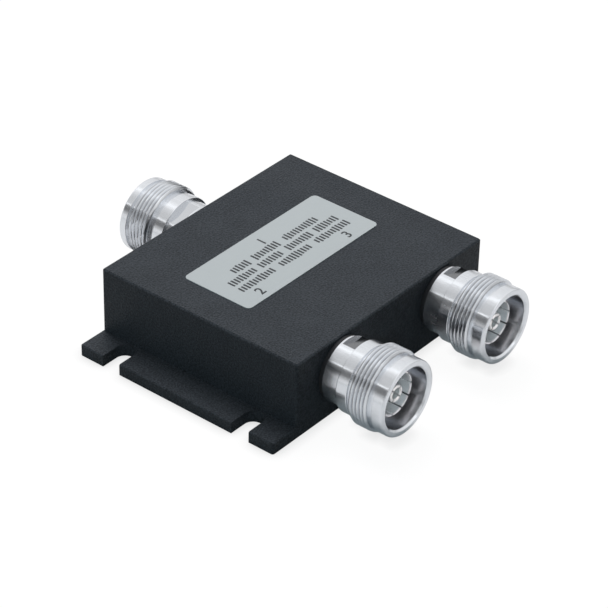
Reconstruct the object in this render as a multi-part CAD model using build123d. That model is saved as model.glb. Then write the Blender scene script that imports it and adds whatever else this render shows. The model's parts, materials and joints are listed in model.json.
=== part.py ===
from build123d import *
from dataclasses import dataclass
import math
import os

os.makedirs("parts", exist_ok=True)

# All sizes are millimetres. X runs across the ears, Y from the outputs to the input, Z is up.

# Housing
BOX_WIDTH = 68.0
BOX_DEPTH = 58.5
BOX_HEIGHT = 20.2
EDGE_ROUND = 0.6
TOP_CHAMFER = 0.35
SIDE_WALL = 5.0
PORT_WALL = 6.0
CAVITY_ROUND = 3.0

# Mounting ears and their open slots
EAR_REACH = 7.9
EAR_THICKNESS = 3.0
EAR_CHAMFER = 0.25
SLOT_WIDTH = 5.1
SLOT_PITCH = 39.1
SLOT_REACH = 7.2

# Bottom cover, its gasket and screws
COVER_RIM = 2.5
COVER_INSET = 0.2
COVER_THICKNESS = 2.0
GASKET_THICKNESS = 0.5
COVER_CLEARANCE = 0.1
COVER_SCREW_INSET = 5.6
BOSS_RADIUS = 3.1
COVER_SCREW_RADIUS = 1.25
COVER_SCREW_LENGTH = 6.0
COVER_HEAD_RADIUS = 2.35
HEAD_CLEARANCE = 0.1
HOLE_CLEARANCE = 0.2
THREAD_CLEARANCE = 0.04
TAP_SPARE = 1.0

# Ports: the axis height and the two outputs' distance from the middle
AXIS_HEIGHT = 11.7
OUTPUT_OFFSET = 18.55
PORT_THREAD_RADIUS = 7.0

# Jack shell: lengths run outwards along the port axis, radii from it
SEAL_LENGTH = 1.1
SEAL_RADIUS = 7.8
SEAL_CLEARANCE = 0.08
COLLAR_LENGTH = 4.54
COLLAR_RADIUS = 8.15
COLLAR_CHAMFER = 0.2
FLANGE_LENGTH = 0.7
FLATS_ACROSS = 14.6
RING_LENGTH = 3.1
RING_RADIUS = 8.9
RING_CHAMFER = 0.15
UNDERCUT_LENGTH = 1.06
UNDERCUT_RADIUS = 8.35
THREAD_RADIUS = 10.0
THREAD_CHAMFER = 0.5
GROOVE_RADIUS = 8.7
RIM_RADIUS = 9.4
RIM_ROUND = 0.5
MOUTH_RADIUS = 7.6
MOUTH_CHAMFER = 0.45
MOUTH_FLOOR = 8.9

# Outer contact: a slotted tube pressed into the shell
CONTACT_SEAT = 3.9
CONTACT_RECESS = 3.0
CONTACT_ROOT_RADIUS = 6.3
CONTACT_TUBE_RADIUS = 5.5
CONTACT_BEAD_RADIUS = 5.67
CONTACT_BEAD_LENGTH = 0.9
CONTACT_BORE_RADIUS = 5.0
FINGER_COUNT = 10
FINGER_SLOT = 0.4
FINGER_LENGTH = 5.5
FINGER_TURN = 4.5

# Insulator bead and rear line
BEAD_START = 0.4
BEAD_RADIUS = 5.8
REAR_BORE_RADIUS = 2.3

# Centre contact: slotted socket in front, waist in the bead, pin to the board behind
SOCKET_RADIUS = 2.15
SOCKET_BORE_RADIUS = 1.3
SOCKET_MOUTH_RADIUS = 1.6
SOCKET_DEPTH = 6.0
SOCKET_SLOTS = 4
SOCKET_SLOT = 0.35
SOCKET_SLOT_LENGTH = 4.5
WAIST_RADIUS = 1.5
LINE_PIN_RADIUS = 1.0
TAIL_RADIUS = 0.75
TAIL_LENGTH = 4.0

# Circuit board, copper lines and chip resistors
BOARD_THICKNESS = 1.5
COPPER_THICKNESS = 0.1
BOARD_CLEARANCE = 0.3
PORT_LINE_WIDTH = 4.2
LOOP_WIDTHS = (1.4, 2.0, 2.8)
LOOP_TOP = 14.0
LOOP_HEIGHT = 6.4
LOOP_LINK = 2.6
LOOP_REACH = 10.5
PAIR_GAP = 1.8
OUTPUT_LINE_DROP = 3.6
OUTPUT_BEND = 4.0
CHIP_LENGTH = 3.2
CHIP_WIDTH = 1.6
CHIP_HEIGHT = 0.6
CHIP_END = 0.5
BOARD_SCREW_SIDE = 7.0
BOARD_SCREW_BACK = 9.25
BOARD_SCREW_FRONT = 4.25
BOARD_SCREW_ROWS = 18.0
BOARD_SCREW_RADIUS = 1.0
BOARD_SCREW_LENGTH = 5.0
BOARD_HEAD_RADIUS = 1.9
BOARD_HEAD_HEIGHT = 1.3
SOLDER_RADIUS = 1.5
SOLDER_LENGTH = 2.6
SOLDER_DEPTH = 1.8
SOLDER_FILM = 0.05

# Cross recess of both screws
RECESS_WIDTH = 0.55
RECESS_DEPTH = 0.8

# Label
LABEL_WIDTH = 47.4
LABEL_DEPTH = 19.8
LABEL_X = -0.78
LABEL_Y = 2.66
LABEL_ROUND = 1.3
LABEL_THICKNESS = 0.15

# Heights that follow from the sizes above
COVER_TOP = COVER_INSET + COVER_THICKNESS
LEDGE_HEIGHT = COVER_TOP + GASKET_THICKNESS
COPPER_HEIGHT = AXIS_HEIGHT + TAIL_RADIUS + SOLDER_FILM
BOARD_HEIGHT = COPPER_HEIGHT + COPPER_THICKNESS
CEILING_HEIGHT = BOARD_HEIGHT + BOARD_THICKNESS
CAVITY_WIDTH = BOX_WIDTH - 2 * SIDE_WALL
CAVITY_DEPTH = BOX_DEPTH - 2 * PORT_WALL
OPENING_WIDTH = BOX_WIDTH - 2 * COVER_RIM
OPENING_DEPTH = BOX_DEPTH - 2 * COVER_RIM
OVERCUT = 1.0


@dataclass(frozen=True)
class JackForm:
    """Places along one jack's axis, measured outwards from the housing wall."""

    collar_start: float
    thread_end: float
    rim_start: float
    rim_end: float
    flat_angle: float

    @property
    def collar_end(self):
        """Line between the collar and the ring."""
        return self.collar_start + COLLAR_LENGTH

    @property
    def ring_end(self):
        """Front of the smooth ring."""
        return self.collar_end + RING_LENGTH

    @property
    def thread_start(self):
        """Rear end of the coupling thread."""
        return self.ring_end + UNDERCUT_LENGTH

    @property
    def mouth_floor(self):
        """Floor of the wide mouth round the outer contact."""
        return self.collar_start + MOUTH_FLOOR

    @property
    def bead_start(self):
        """Rear face of the insulator bead."""
        return self.collar_start + BEAD_START

    @property
    def contact_seat(self):
        """Rear face of the outer contact, on the bead's front face."""
        return self.collar_start + CONTACT_SEAT

    @property
    def contact_end(self):
        """Tips of the outer and centre contacts."""
        return self.rim_end - CONTACT_RECESS


# The outputs stand on seal rings; the input's collar lies on the wall
OUTPUT_FORM = JackForm(SEAL_LENGTH, 15.0, 16.15, 19.1, 76.25)
INPUT_FORM = JackForm(0.0, 14.2, 15.4, 17.5, 71.25)


def turned(corners):
    """Solid of revolution about Z from (radius, height) corners."""
    outline = Polyline([(radius, 0, height) for radius, height in corners], close=True)
    return revolve(make_face(outline), Axis.Z)


def rounded_slab(width, depth, bottom, top, radius):
    """Upright block with rounded vertical edges."""
    outline = RectangleRounded(width, depth, radius)
    return Pos(0, 0, bottom) * extrude(outline, amount=top - bottom)


def upright(radius, bottom, top):
    """Vertical cylinder between two heights."""
    return Pos(0, 0, bottom) * extrude(Circle(radius), amount=top - bottom)


def cover_screw_spots():
    """Centres of the ten cover screws: six near the ends, four between the ports."""
    end_x = BOX_WIDTH / 2 - COVER_SCREW_INSET
    row_y = BOX_DEPTH / 2 - COVER_SCREW_INSET
    spots = [(-end_x, 0), (end_x, 0)]
    for x in (end_x, OUTPUT_OFFSET / 2):
        spots += [(-x, -row_y), (-x, row_y), (x, -row_y), (x, row_y)]
    return spots


def board_screw_spots():
    """Centres of the board's screws: two rows outside the loops, one screw between the outputs."""
    side_x = CAVITY_WIDTH / 2 - BOARD_SCREW_SIDE
    back_y = CAVITY_DEPTH / 2 - BOARD_SCREW_BACK
    spots = [(0, BOARD_SCREW_FRONT - CAVITY_DEPTH / 2)]
    for y in (back_y, back_y - BOARD_SCREW_ROWS):
        spots += [(-side_x, y), (side_x, y)]
    return spots


def port_frames():
    """Name and frame of each port: origin on the wall, local Z pointing outwards."""
    wall = BOX_DEPTH / 2
    return {
        "input": Plane((0, wall, AXIS_HEIGHT), x_dir=(-1, 0, 0), z_dir=(0, 1, 0)),
        "output_left": Plane((-OUTPUT_OFFSET, -wall, AXIS_HEIGHT), x_dir=(1, 0, 0), z_dir=(0, -1, 0)),
        "output_right": Plane((OUTPUT_OFFSET, -wall, AXIS_HEIGHT), x_dir=(1, 0, 0), z_dir=(0, -1, 0)),
    }


def cavity_plan(margin):
    """Plan of the cavity drawn in by a margin, with the screw bosses left standing."""
    plan = RectangleRounded(
        CAVITY_WIDTH - 2 * margin, CAVITY_DEPTH - 2 * margin, CAVITY_ROUND - margin
    )
    for x, y in cover_screw_spots():
        plan -= Pos(x, y) * Circle(BOSS_RADIUS + margin)
    return plan


def ear_slots():
    """Cutters for the four open slots, half round at the inner end."""
    cutters = []
    outer_x = BOX_WIDTH / 2 + EAR_REACH
    inner_x = outer_x - SLOT_REACH + SLOT_WIDTH / 2
    height = EAR_THICKNESS + 2 * OVERCUT
    for side in (-1, 1):
        for y in (-SLOT_PITCH / 2, SLOT_PITCH / 2):
            length = outer_x + OVERCUT - inner_x
            middle_x = side * (inner_x + length / 2)
            channel = Pos(middle_x, y, EAR_THICKNESS / 2) * Box(length, SLOT_WIDTH, height)
            round_end = Pos(side * inner_x, y, EAR_THICKNESS / 2) * Cylinder(SLOT_WIDTH / 2, height)
            cutters.append(channel + round_end)
    return cutters


def make_housing():
    """One milled piece: box, ears, ports, cavity, cover recess and tapped holes."""
    ears = Pos(0, 0, EAR_THICKNESS / 2) * Box(
        BOX_WIDTH + 2 * EAR_REACH, BOX_DEPTH, EAR_THICKNESS
    )
    ears = fillet(ears.edges().filter_by(Axis.Z), EDGE_ROUND)
    ears = chamfer(ears.faces().sort_by(Axis.Z)[-1].edges(), EAR_CHAMFER)
    box = rounded_slab(BOX_WIDTH, BOX_DEPTH, 0, BOX_HEIGHT, EDGE_ROUND)
    box = chamfer(box.faces().sort_by(Axis.Z)[-1].edges(), TOP_CHAMFER)
    body = box + ears
    for cutter in ear_slots():
        body -= cutter
    body -= rounded_slab(OPENING_WIDTH, OPENING_DEPTH, -OVERCUT, LEDGE_HEIGHT, CAVITY_ROUND)
    depth = CEILING_HEIGHT - LEDGE_HEIGHT
    body -= Pos(0, 0, LEDGE_HEIGHT) * extrude(cavity_plan(0), amount=depth)
    tap_top = COVER_INSET + COVER_SCREW_LENGTH + TAP_SPARE
    for x, y in cover_screw_spots():
        body -= Pos(x, y) * upright(COVER_SCREW_RADIUS + THREAD_CLEARANCE, LEDGE_HEIGHT, tap_top)
    board_tap = BOARD_SCREW_RADIUS + THREAD_CLEARANCE
    board_tap_top = BOARD_HEIGHT + BOARD_SCREW_LENGTH + TAP_SPARE
    for x, y in board_screw_spots():
        body -= Pos(x, y) * upright(board_tap, CEILING_HEIGHT - OVERCUT, board_tap_top)
    bore = upright(PORT_THREAD_RADIUS + THREAD_CLEARANCE, -PORT_WALL - OVERCUT, OVERCUT)
    for frame in port_frames().values():
        body -= frame.location * bore
    return body


def make_cover():
    """Flat plate let into the underside, with countersunk holes."""
    plate = rounded_slab(
        OPENING_WIDTH - 2 * COVER_CLEARANCE,
        OPENING_DEPTH - 2 * COVER_CLEARANCE,
        COVER_INSET,
        COVER_TOP,
        CAVITY_ROUND,
    )
    hole = COVER_SCREW_RADIUS + HOLE_CLEARANCE
    head = COVER_HEAD_RADIUS + HEAD_CLEARANCE
    cutter = turned(
        [
            (0, -OVERCUT),
            (head, -OVERCUT),
            (head, 0),
            (hole, head - hole),
            (hole, COVER_TOP),
            (0, COVER_TOP),
        ]
    )
    for x, y in cover_screw_spots():
        plate -= Pos(x, y, COVER_INSET) * cutter
    return plate


def make_gasket():
    """Thin frame between the cover and the housing's ledge."""
    outline = RectangleRounded(
        OPENING_WIDTH - 4 * COVER_CLEARANCE,
        OPENING_DEPTH - 4 * COVER_CLEARANCE,
        CAVITY_ROUND,
    )
    frame = outline - cavity_plan(-COVER_CLEARANCE)
    for x, y in cover_screw_spots():
        frame -= Pos(x, y) * Circle(COVER_SCREW_RADIUS + HOLE_CLEARANCE)
    return Pos(0, 0, COVER_TOP) * extrude(frame, amount=GASKET_THICKNESS)


def cross_recess(height):
    """Cross-shaped cutter that reaches upwards from a head's face."""
    arm = 2.4 * RECESS_WIDTH
    blade = Box(2 * arm, RECESS_WIDTH, 2 * RECESS_DEPTH)
    return Pos(0, 0, height) * (blade + Rot(0, 0, 90) * blade)


def make_cover_screw():
    """Countersunk screw with its head down, head face at local zero."""
    cone = COVER_HEAD_RADIUS - COVER_SCREW_RADIUS
    tip = COVER_SCREW_RADIUS - 0.35
    screw = turned(
        [
            (0, 0),
            (COVER_HEAD_RADIUS, 0),
            (COVER_SCREW_RADIUS, cone),
            (COVER_SCREW_RADIUS, COVER_SCREW_LENGTH - 0.35),
            (tip, COVER_SCREW_LENGTH),
            (0, COVER_SCREW_LENGTH),
        ]
    )
    return screw - cross_recess(0)


def make_cover_screws():
    """The ten cover screws as separate solids."""
    seat = COVER_INSET + HEAD_CLEARANCE
    return [Pos(x, y, seat) * make_cover_screw() for x, y in cover_screw_spots()]


def make_board_screw():
    """Pan-head screw with its head down, head seat at local zero."""
    edge = 0.35
    screw = turned(
        [
            (0, -BOARD_HEAD_HEIGHT),
            (BOARD_HEAD_RADIUS - edge, -BOARD_HEAD_HEIGHT),
            (BOARD_HEAD_RADIUS, -BOARD_HEAD_HEIGHT + edge),
            (BOARD_HEAD_RADIUS, 0),
            (BOARD_SCREW_RADIUS, 0),
            (BOARD_SCREW_RADIUS, BOARD_SCREW_LENGTH - edge),
            (BOARD_SCREW_RADIUS - edge, BOARD_SCREW_LENGTH),
            (0, BOARD_SCREW_LENGTH),
        ]
    )
    return screw - cross_recess(-BOARD_HEAD_HEIGHT)


def make_board_screws():
    """The board's screws as separate solids, seated on the board's lower face."""
    return [Pos(x, y, BOARD_HEIGHT) * make_board_screw() for x, y in board_screw_spots()]


def make_board():
    """Laminate under the cavity's ceiling, cut round the bosses."""
    board = Pos(0, 0, BOARD_HEIGHT) * extrude(cavity_plan(BOARD_CLEARANCE), amount=BOARD_THICKNESS)
    hole = BOARD_SCREW_RADIUS + HOLE_CLEARANCE
    for x, y in board_screw_spots():
        board -= Pos(x, y) * upright(hole, BOARD_HEIGHT - OVERCUT, CEILING_HEIGHT + OVERCUT)
    return board


def strip(start, end, width):
    """Straight copper strip in plan, squared past both ends by half its width."""
    (x1, y1), (x2, y2) = start, end
    length = math.hypot(x2 - x1, y2 - y1)
    turn = math.degrees(math.atan2(y2 - y1, x2 - x1))
    return Pos((x1 + x2) / 2, (y1 + y2) / 2) * Rot(0, 0, turn) * Rectangle(length + width, width)


def half_bend(centre, radius, width, side):
    """Half ring that opens towards the middle of the board, in plan."""
    ring = Circle(radius + width / 2) - Circle(radius - width / 2)
    keep = Pos(side * (radius + width), 0) * Rectangle(2 * (radius + width), 4 * (radius + width))
    return Pos(*centre) * (ring & keep)


def quarter_bend(centre, radius, width, side):
    """Quarter ring that joins a line running outwards to one running to the outputs."""
    ring = Circle(radius + width / 2) - Circle(radius - width / 2)
    reach = radius + width
    keep = Pos(side * reach / 2, reach / 2) * Rectangle(reach, reach)
    return Pos(*centre) * (ring & keep)


def loop_levels():
    """Upper height on the board of each of the three loops."""
    return [LOOP_TOP - index * (LOOP_HEIGHT + LOOP_LINK) for index in range(len(LOOP_WIDTHS))]


def copper_side(side):
    """One branch of the divider in plan: three loops in line, then the output line."""
    plan = Sketch()
    bend = LOOP_HEIGHT / 2
    previous = None
    for width, top in zip(LOOP_WIDTHS, loop_levels()):
        near_x = side * (PAIR_GAP + width) / 2
        far_x = side * LOOP_REACH
        if previous is not None:
            plan += strip((previous, top + LOOP_LINK), (previous, top), width)
            plan += strip((previous, top), (near_x, top), width)
        middle_x = (near_x + far_x) / 2
        run = Rectangle(LOOP_REACH - abs(near_x), width)
        plan += Pos(middle_x, top) * run
        plan += half_bend((far_x, top - bend), bend, width, side)
        plan += Pos(middle_x, top - LOOP_HEIGHT) * run
        previous = near_x
    width = PORT_LINE_WIDTH
    near_x = side * (PAIR_GAP + width) / 2
    foot = loop_levels()[-1] - LOOP_HEIGHT
    level = foot - OUTPUT_LINE_DROP
    plan += strip((previous, foot), (previous, level), LOOP_WIDTHS[-1])
    far_x = side * (OUTPUT_OFFSET - OUTPUT_BEND)
    plan += Pos((near_x + far_x) / 2, level) * Rectangle(abs(far_x - near_x), width)
    plan += quarter_bend((far_x, level - OUTPUT_BEND), OUTPUT_BEND, width, side)
    edge = -(CAVITY_DEPTH / 2 - BOARD_CLEARANCE)
    start = level - OUTPUT_BEND
    plan += Pos(side * OUTPUT_OFFSET, (start + edge) / 2) * Rectangle(width, start - edge)
    return plan


def make_copper():
    """The divider's copper: input line, both branches, on the board's lower face."""
    edge = CAVITY_DEPTH / 2 - BOARD_CLEARANCE
    foot = LOOP_TOP - LOOP_WIDTHS[0] / 2
    plan = Pos(0, (edge + foot) / 2) * Rectangle(PORT_LINE_WIDTH, edge - foot)
    plan += copper_side(-1)
    plan += copper_side(1)
    return Pos(0, 0, COPPER_HEIGHT) * extrude(plan, amount=COPPER_THICKNESS)


def chip_spots():
    """Centre of each resistor on the board, between the two branches."""
    return [(0, top - LOOP_HEIGHT - LOOP_LINK / 2) for top in loop_levels()]


def make_chips():
    """Ceramic bodies of the isolation resistors."""
    body = Box(CHIP_LENGTH - 2 * CHIP_END, CHIP_WIDTH, CHIP_HEIGHT)
    height = COPPER_HEIGHT - CHIP_HEIGHT / 2
    return [Pos(x, y, height) * body for x, y in chip_spots()]


def make_chip_ends():
    """Metal end caps of the isolation resistors."""
    cap = Box(CHIP_END, CHIP_WIDTH, CHIP_HEIGHT)
    offset = (CHIP_LENGTH - CHIP_END) / 2
    height = COPPER_HEIGHT - CHIP_HEIGHT / 2
    return [Pos(x + side * offset, y, height) * cap for x, y in chip_spots() for side in (-1, 1)]


def make_shell(form):
    """Jack shell along local Z: rear thread, collar, ring, thread, groove, rim."""
    shell = turned(
        [
            (REAR_BORE_RADIUS, -PORT_WALL),
            (PORT_THREAD_RADIUS - THREAD_CHAMFER, -PORT_WALL),
            (PORT_THREAD_RADIUS, -PORT_WALL + THREAD_CHAMFER),
            (PORT_THREAD_RADIUS, form.collar_start),
            (COLLAR_RADIUS - COLLAR_CHAMFER, form.collar_start),
            (COLLAR_RADIUS, form.collar_start + COLLAR_CHAMFER),
            (COLLAR_RADIUS, form.collar_end),
            (RING_RADIUS - RING_CHAMFER, form.collar_end),
            (RING_RADIUS, form.collar_end + RING_CHAMFER),
            (RING_RADIUS, form.ring_end - RING_CHAMFER),
            (RING_RADIUS - RING_CHAMFER, form.ring_end),
            (UNDERCUT_RADIUS, form.ring_end),
            (UNDERCUT_RADIUS, form.thread_start),
            (THREAD_RADIUS - THREAD_CHAMFER, form.thread_start),
            (THREAD_RADIUS, form.thread_start + THREAD_CHAMFER),
            (THREAD_RADIUS, form.thread_end - THREAD_CHAMFER),
            (THREAD_RADIUS - THREAD_CHAMFER, form.thread_end),
            (GROOVE_RADIUS, form.thread_end),
            (GROOVE_RADIUS, form.rim_start),
            (RIM_RADIUS, form.rim_start),
            (RIM_RADIUS, form.rim_end),
            (MOUTH_RADIUS + MOUTH_CHAMFER, form.rim_end),
            (MOUTH_RADIUS, form.rim_end - MOUTH_CHAMFER),
            (MOUTH_RADIUS, form.mouth_floor),
            (CONTACT_ROOT_RADIUS, form.mouth_floor),
            (CONTACT_ROOT_RADIUS, form.contact_seat),
            (BEAD_RADIUS, form.contact_seat),
            (BEAD_RADIUS, form.bead_start),
            (REAR_BORE_RADIUS, form.bead_start),
        ]
    )
    rim = [
        edge
        for edge in shell.edges().filter_by(GeomType.CIRCLE)
        if abs(edge.radius - RIM_RADIUS) < 0.001 and abs(edge.center().Z - form.rim_end) < 0.001
    ]
    return cut_flats(fillet(rim, RIM_ROUND), form)


def cut_flats(shell, form):
    """Cuts the collar's two opposite wrench flats, from its thin flange to the ring."""
    start = form.collar_start + FLANGE_LENGTH
    length = form.collar_end - start
    reach = COLLAR_RADIUS - FLATS_ACROSS / 2 + OVERCUT
    cutter = Box(reach, 2 * COLLAR_RADIUS, length)
    place = Pos((FLATS_ACROSS + reach) / 2, 0, start + length / 2)
    for angle in (form.flat_angle, form.flat_angle + 180):
        shell -= Rot(0, 0, angle) * place * cutter
    return shell


def make_outer_contact(form):
    """Slotted tube along local Z: root in the shell, fingers with a bead at the tip."""
    bead_start = form.contact_end - CONTACT_BEAD_LENGTH
    tube = turned(
        [
            (CONTACT_BORE_RADIUS, form.contact_seat),
            (CONTACT_ROOT_RADIUS, form.contact_seat),
            (CONTACT_ROOT_RADIUS, form.mouth_floor),
            (CONTACT_TUBE_RADIUS, form.mouth_floor),
            (CONTACT_TUBE_RADIUS, bead_start),
            (CONTACT_BEAD_RADIUS, bead_start + 0.2),
            (CONTACT_BEAD_RADIUS, form.contact_end - 0.2),
            (CONTACT_BEAD_RADIUS - 0.2, form.contact_end),
            (CONTACT_BORE_RADIUS + 0.15, form.contact_end),
            (CONTACT_BORE_RADIUS, form.contact_end - 0.3),
        ]
    )
    reach = CONTACT_BEAD_RADIUS + OVERCUT
    middle = form.contact_end - FINGER_LENGTH / 2 + OVERCUT / 2
    slot = Pos(reach / 2, 0, middle) * Box(reach, FINGER_SLOT, FINGER_LENGTH + OVERCUT)
    for index in range(FINGER_COUNT):
        tube -= Rot(0, 0, FINGER_TURN + 360 * index / FINGER_COUNT) * slot
    return tube


def make_bead(form):
    """Insulator bead round the centre contact's waist."""
    return turned(
        [
            (WAIST_RADIUS, form.bead_start),
            (BEAD_RADIUS, form.bead_start),
            (BEAD_RADIUS, form.contact_seat),
            (WAIST_RADIUS, form.contact_seat),
        ]
    )


def make_centre_contact(form):
    """Centre contact along local Z: tail over the board, line pin, waist, slotted socket."""
    tail_end = -PORT_WALL - TAIL_LENGTH
    tip = form.contact_end
    pin = turned(
        [
            (0, tail_end),
            (TAIL_RADIUS - 0.15, tail_end),
            (TAIL_RADIUS, tail_end + 0.15),
            (TAIL_RADIUS, -PORT_WALL),
            (LINE_PIN_RADIUS, -PORT_WALL + 0.25),
            (LINE_PIN_RADIUS, form.bead_start),
            (WAIST_RADIUS, form.bead_start),
            (WAIST_RADIUS, form.contact_seat),
            (SOCKET_RADIUS, form.contact_seat),
            (SOCKET_RADIUS, tip - 0.2),
            (SOCKET_RADIUS - 0.2, tip),
            (SOCKET_MOUTH_RADIUS, tip),
            (SOCKET_BORE_RADIUS, tip - 0.3),
            (SOCKET_BORE_RADIUS, tip - SOCKET_DEPTH),
            (0, tip - SOCKET_DEPTH - 0.7),
        ]
    )
    slot = Pos(SOCKET_RADIUS, 0, tip - SOCKET_SLOT_LENGTH / 2 + OVERCUT / 2) * Box(
        2 * SOCKET_RADIUS, SOCKET_SLOT, SOCKET_SLOT_LENGTH + OVERCUT
    )
    for index in range(SOCKET_SLOTS):
        pin -= Rot(0, 0, 45 + 360 * index / SOCKET_SLOTS) * slot
    return pin


def make_seal():
    """Flat seal ring between the housing wall and an output's collar."""
    inner = PORT_THREAD_RADIUS + SEAL_CLEARANCE
    return turned([(inner, 0), (SEAL_RADIUS, 0), (SEAL_RADIUS, SEAL_LENGTH), (inner, SEAL_LENGTH)])


def make_solder(frame):
    """Solder round a centre pin's tail, under the copper."""
    start = -PORT_WALL - BOARD_CLEARANCE - 0.5
    lump = Pos(0, 0, start - SOLDER_LENGTH) * extrude(Circle(SOLDER_RADIUS), amount=SOLDER_LENGTH)
    lump = chamfer(lump.edges().filter_by(GeomType.CIRCLE), 0.5)
    lump = frame.location * lump
    centre = lump.bounding_box().center()
    top = COPPER_HEIGHT
    size = 2 * SOLDER_RADIUS + 2 * SOLDER_LENGTH
    lump &= Pos(centre.X, centre.Y, top - SOLDER_DEPTH / 2) * Box(size, size, SOLDER_DEPTH)
    hole = frame.location * upright(TAIL_RADIUS, -PORT_WALL - 2 * TAIL_LENGTH, 0)
    return lump - hole


def make_label():
    """Thin rounded plate stuck on the top."""
    plate = Pos(LABEL_X, LABEL_Y, BOX_HEIGHT) * extrude(
        RectangleRounded(LABEL_WIDTH, LABEL_DEPTH, LABEL_ROUND), amount=LABEL_THICKNESS
    )
    return plate


def write(name, shape):
    """Writes one node, a single solid or a list of separate solids."""
    if isinstance(shape, list):
        solids = [solid for item in shape for solid in item.solids()]
        shape = Compound(children=solids)
    export_step(shape, f"parts/{name}.step")


def main():
    write("housing", make_housing())
    write("bottom_cover", make_cover())
    write("cover_gasket", make_gasket())
    write("cover_screws", make_cover_screws())
    write("label", make_label())
    write("circuit_board", make_board())
    write("circuit_copper", make_copper())
    write("isolation_resistors", make_chips())
    write("resistor_ends", make_chip_ends())
    write("board_screws", make_board_screws())
    for port, frame in port_frames().items():
        form = INPUT_FORM if port == "input" else OUTPUT_FORM
        write(f"{port}_shell", frame.location * make_shell(form))
        write(f"{port}_outer_contact", frame.location * make_outer_contact(form))
        write(f"{port}_insulator", frame.location * make_bead(form))
        write(f"{port}_centre_contact", frame.location * make_centre_contact(form))
        if form.collar_start > 0:
            write(f"{port}_seal", frame.location * make_seal())
    write("solder_joints", [make_solder(frame) for frame in port_frames().values()])


main()
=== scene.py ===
"""Looks of a two-way coaxial power splitter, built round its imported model.

Lengths in the dataclasses are millimetres, as on a workshop drawing. Meshes are
made in metres, in the row frame: X across the ears, Y towards the input, Z up.
"""

from __future__ import annotations

import json
import logging
import math
from collections.abc import Iterable, Sequence
from dataclasses import dataclass, field
from enum import Enum

import bmesh
import bpy
from mathutils import Matrix, Vector

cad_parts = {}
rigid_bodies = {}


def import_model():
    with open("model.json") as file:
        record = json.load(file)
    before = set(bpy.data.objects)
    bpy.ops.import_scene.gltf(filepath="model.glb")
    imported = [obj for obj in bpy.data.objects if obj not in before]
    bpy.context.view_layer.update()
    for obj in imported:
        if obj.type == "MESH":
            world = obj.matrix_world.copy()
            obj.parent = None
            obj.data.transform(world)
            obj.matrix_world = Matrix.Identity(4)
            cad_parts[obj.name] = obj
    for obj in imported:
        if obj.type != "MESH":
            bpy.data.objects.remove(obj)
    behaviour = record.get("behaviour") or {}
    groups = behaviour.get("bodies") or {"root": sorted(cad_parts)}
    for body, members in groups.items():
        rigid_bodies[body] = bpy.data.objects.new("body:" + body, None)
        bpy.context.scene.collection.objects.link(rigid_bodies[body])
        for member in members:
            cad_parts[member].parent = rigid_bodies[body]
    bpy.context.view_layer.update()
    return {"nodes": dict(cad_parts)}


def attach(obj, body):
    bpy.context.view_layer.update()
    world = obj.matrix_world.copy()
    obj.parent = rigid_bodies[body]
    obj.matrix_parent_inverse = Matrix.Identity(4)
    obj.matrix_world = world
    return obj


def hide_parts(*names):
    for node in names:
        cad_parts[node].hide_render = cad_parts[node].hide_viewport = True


MM = 0.001
TINY = 1e-6
BODY = "root"
IMAGE_SIDE = 608.0
UV_NAME = "UVMap"
FLAT_NAME = "wrench_flat"
# mask of the painted shade in thread roots and in the mouth's bore
PAINTED_SHADE_NAME = "thread_root"
THREAD_PLACES = ("Front", "Rear")
THREAD_SIZES = ("Start", "End", "Radius", "Pitch")
THREAD_DEPTH = 0.6134  # of an external metric thread, as a share of its pitch

log = logging.getLogger("power_splitter")

Corner = tuple[float, float]
Triple = tuple[float, float, float]


# ---------------------------------------------------------------- node graphs


class Value:
    """An output socket with arithmetic: each operation adds a Math node.

    Attributes:
        graph: Graph that the socket belongs to.
        socket: The socket itself.
    """

    def __init__(self, graph: Graph, socket: bpy.types.NodeSocket) -> None:
        """Wraps a socket."""
        self.graph, self.socket = graph, socket

    def __add__(self, other: Amount) -> Value:
        """Sum of both."""
        return self.graph.math("ADD", self, other)

    def __sub__(self, other: Amount) -> Value:
        """Difference of both."""
        return self.graph.math("SUBTRACT", self, other)

    def __rsub__(self, other: float) -> Value:
        """A number less this value."""
        return self.graph.math("SUBTRACT", other, self)

    def __mul__(self, other: Amount) -> Value:
        """Product of both."""
        return self.graph.math("MULTIPLY", self, other)

    def __truediv__(self, other: Amount) -> Value:
        """Quotient of both."""
        return self.graph.math("DIVIDE", self, other)

    def __rtruediv__(self, other: float) -> Value:
        """A number divided by this value."""
        return self.graph.math("DIVIDE", other, self)

    def __gt__(self, other: Amount) -> Value:
        """1 where this value is greater, otherwise 0."""
        return self.graph.math("GREATER_THAN", self, other)

    def __lt__(self, other: Amount) -> Value:
        """1 where this value is less, otherwise 0."""
        return self.graph.math("LESS_THAN", self, other)

    def __abs__(self) -> Value:
        """Size without the sign."""
        return self.graph.math("ABSOLUTE", self)


Amount = Value | float


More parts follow.
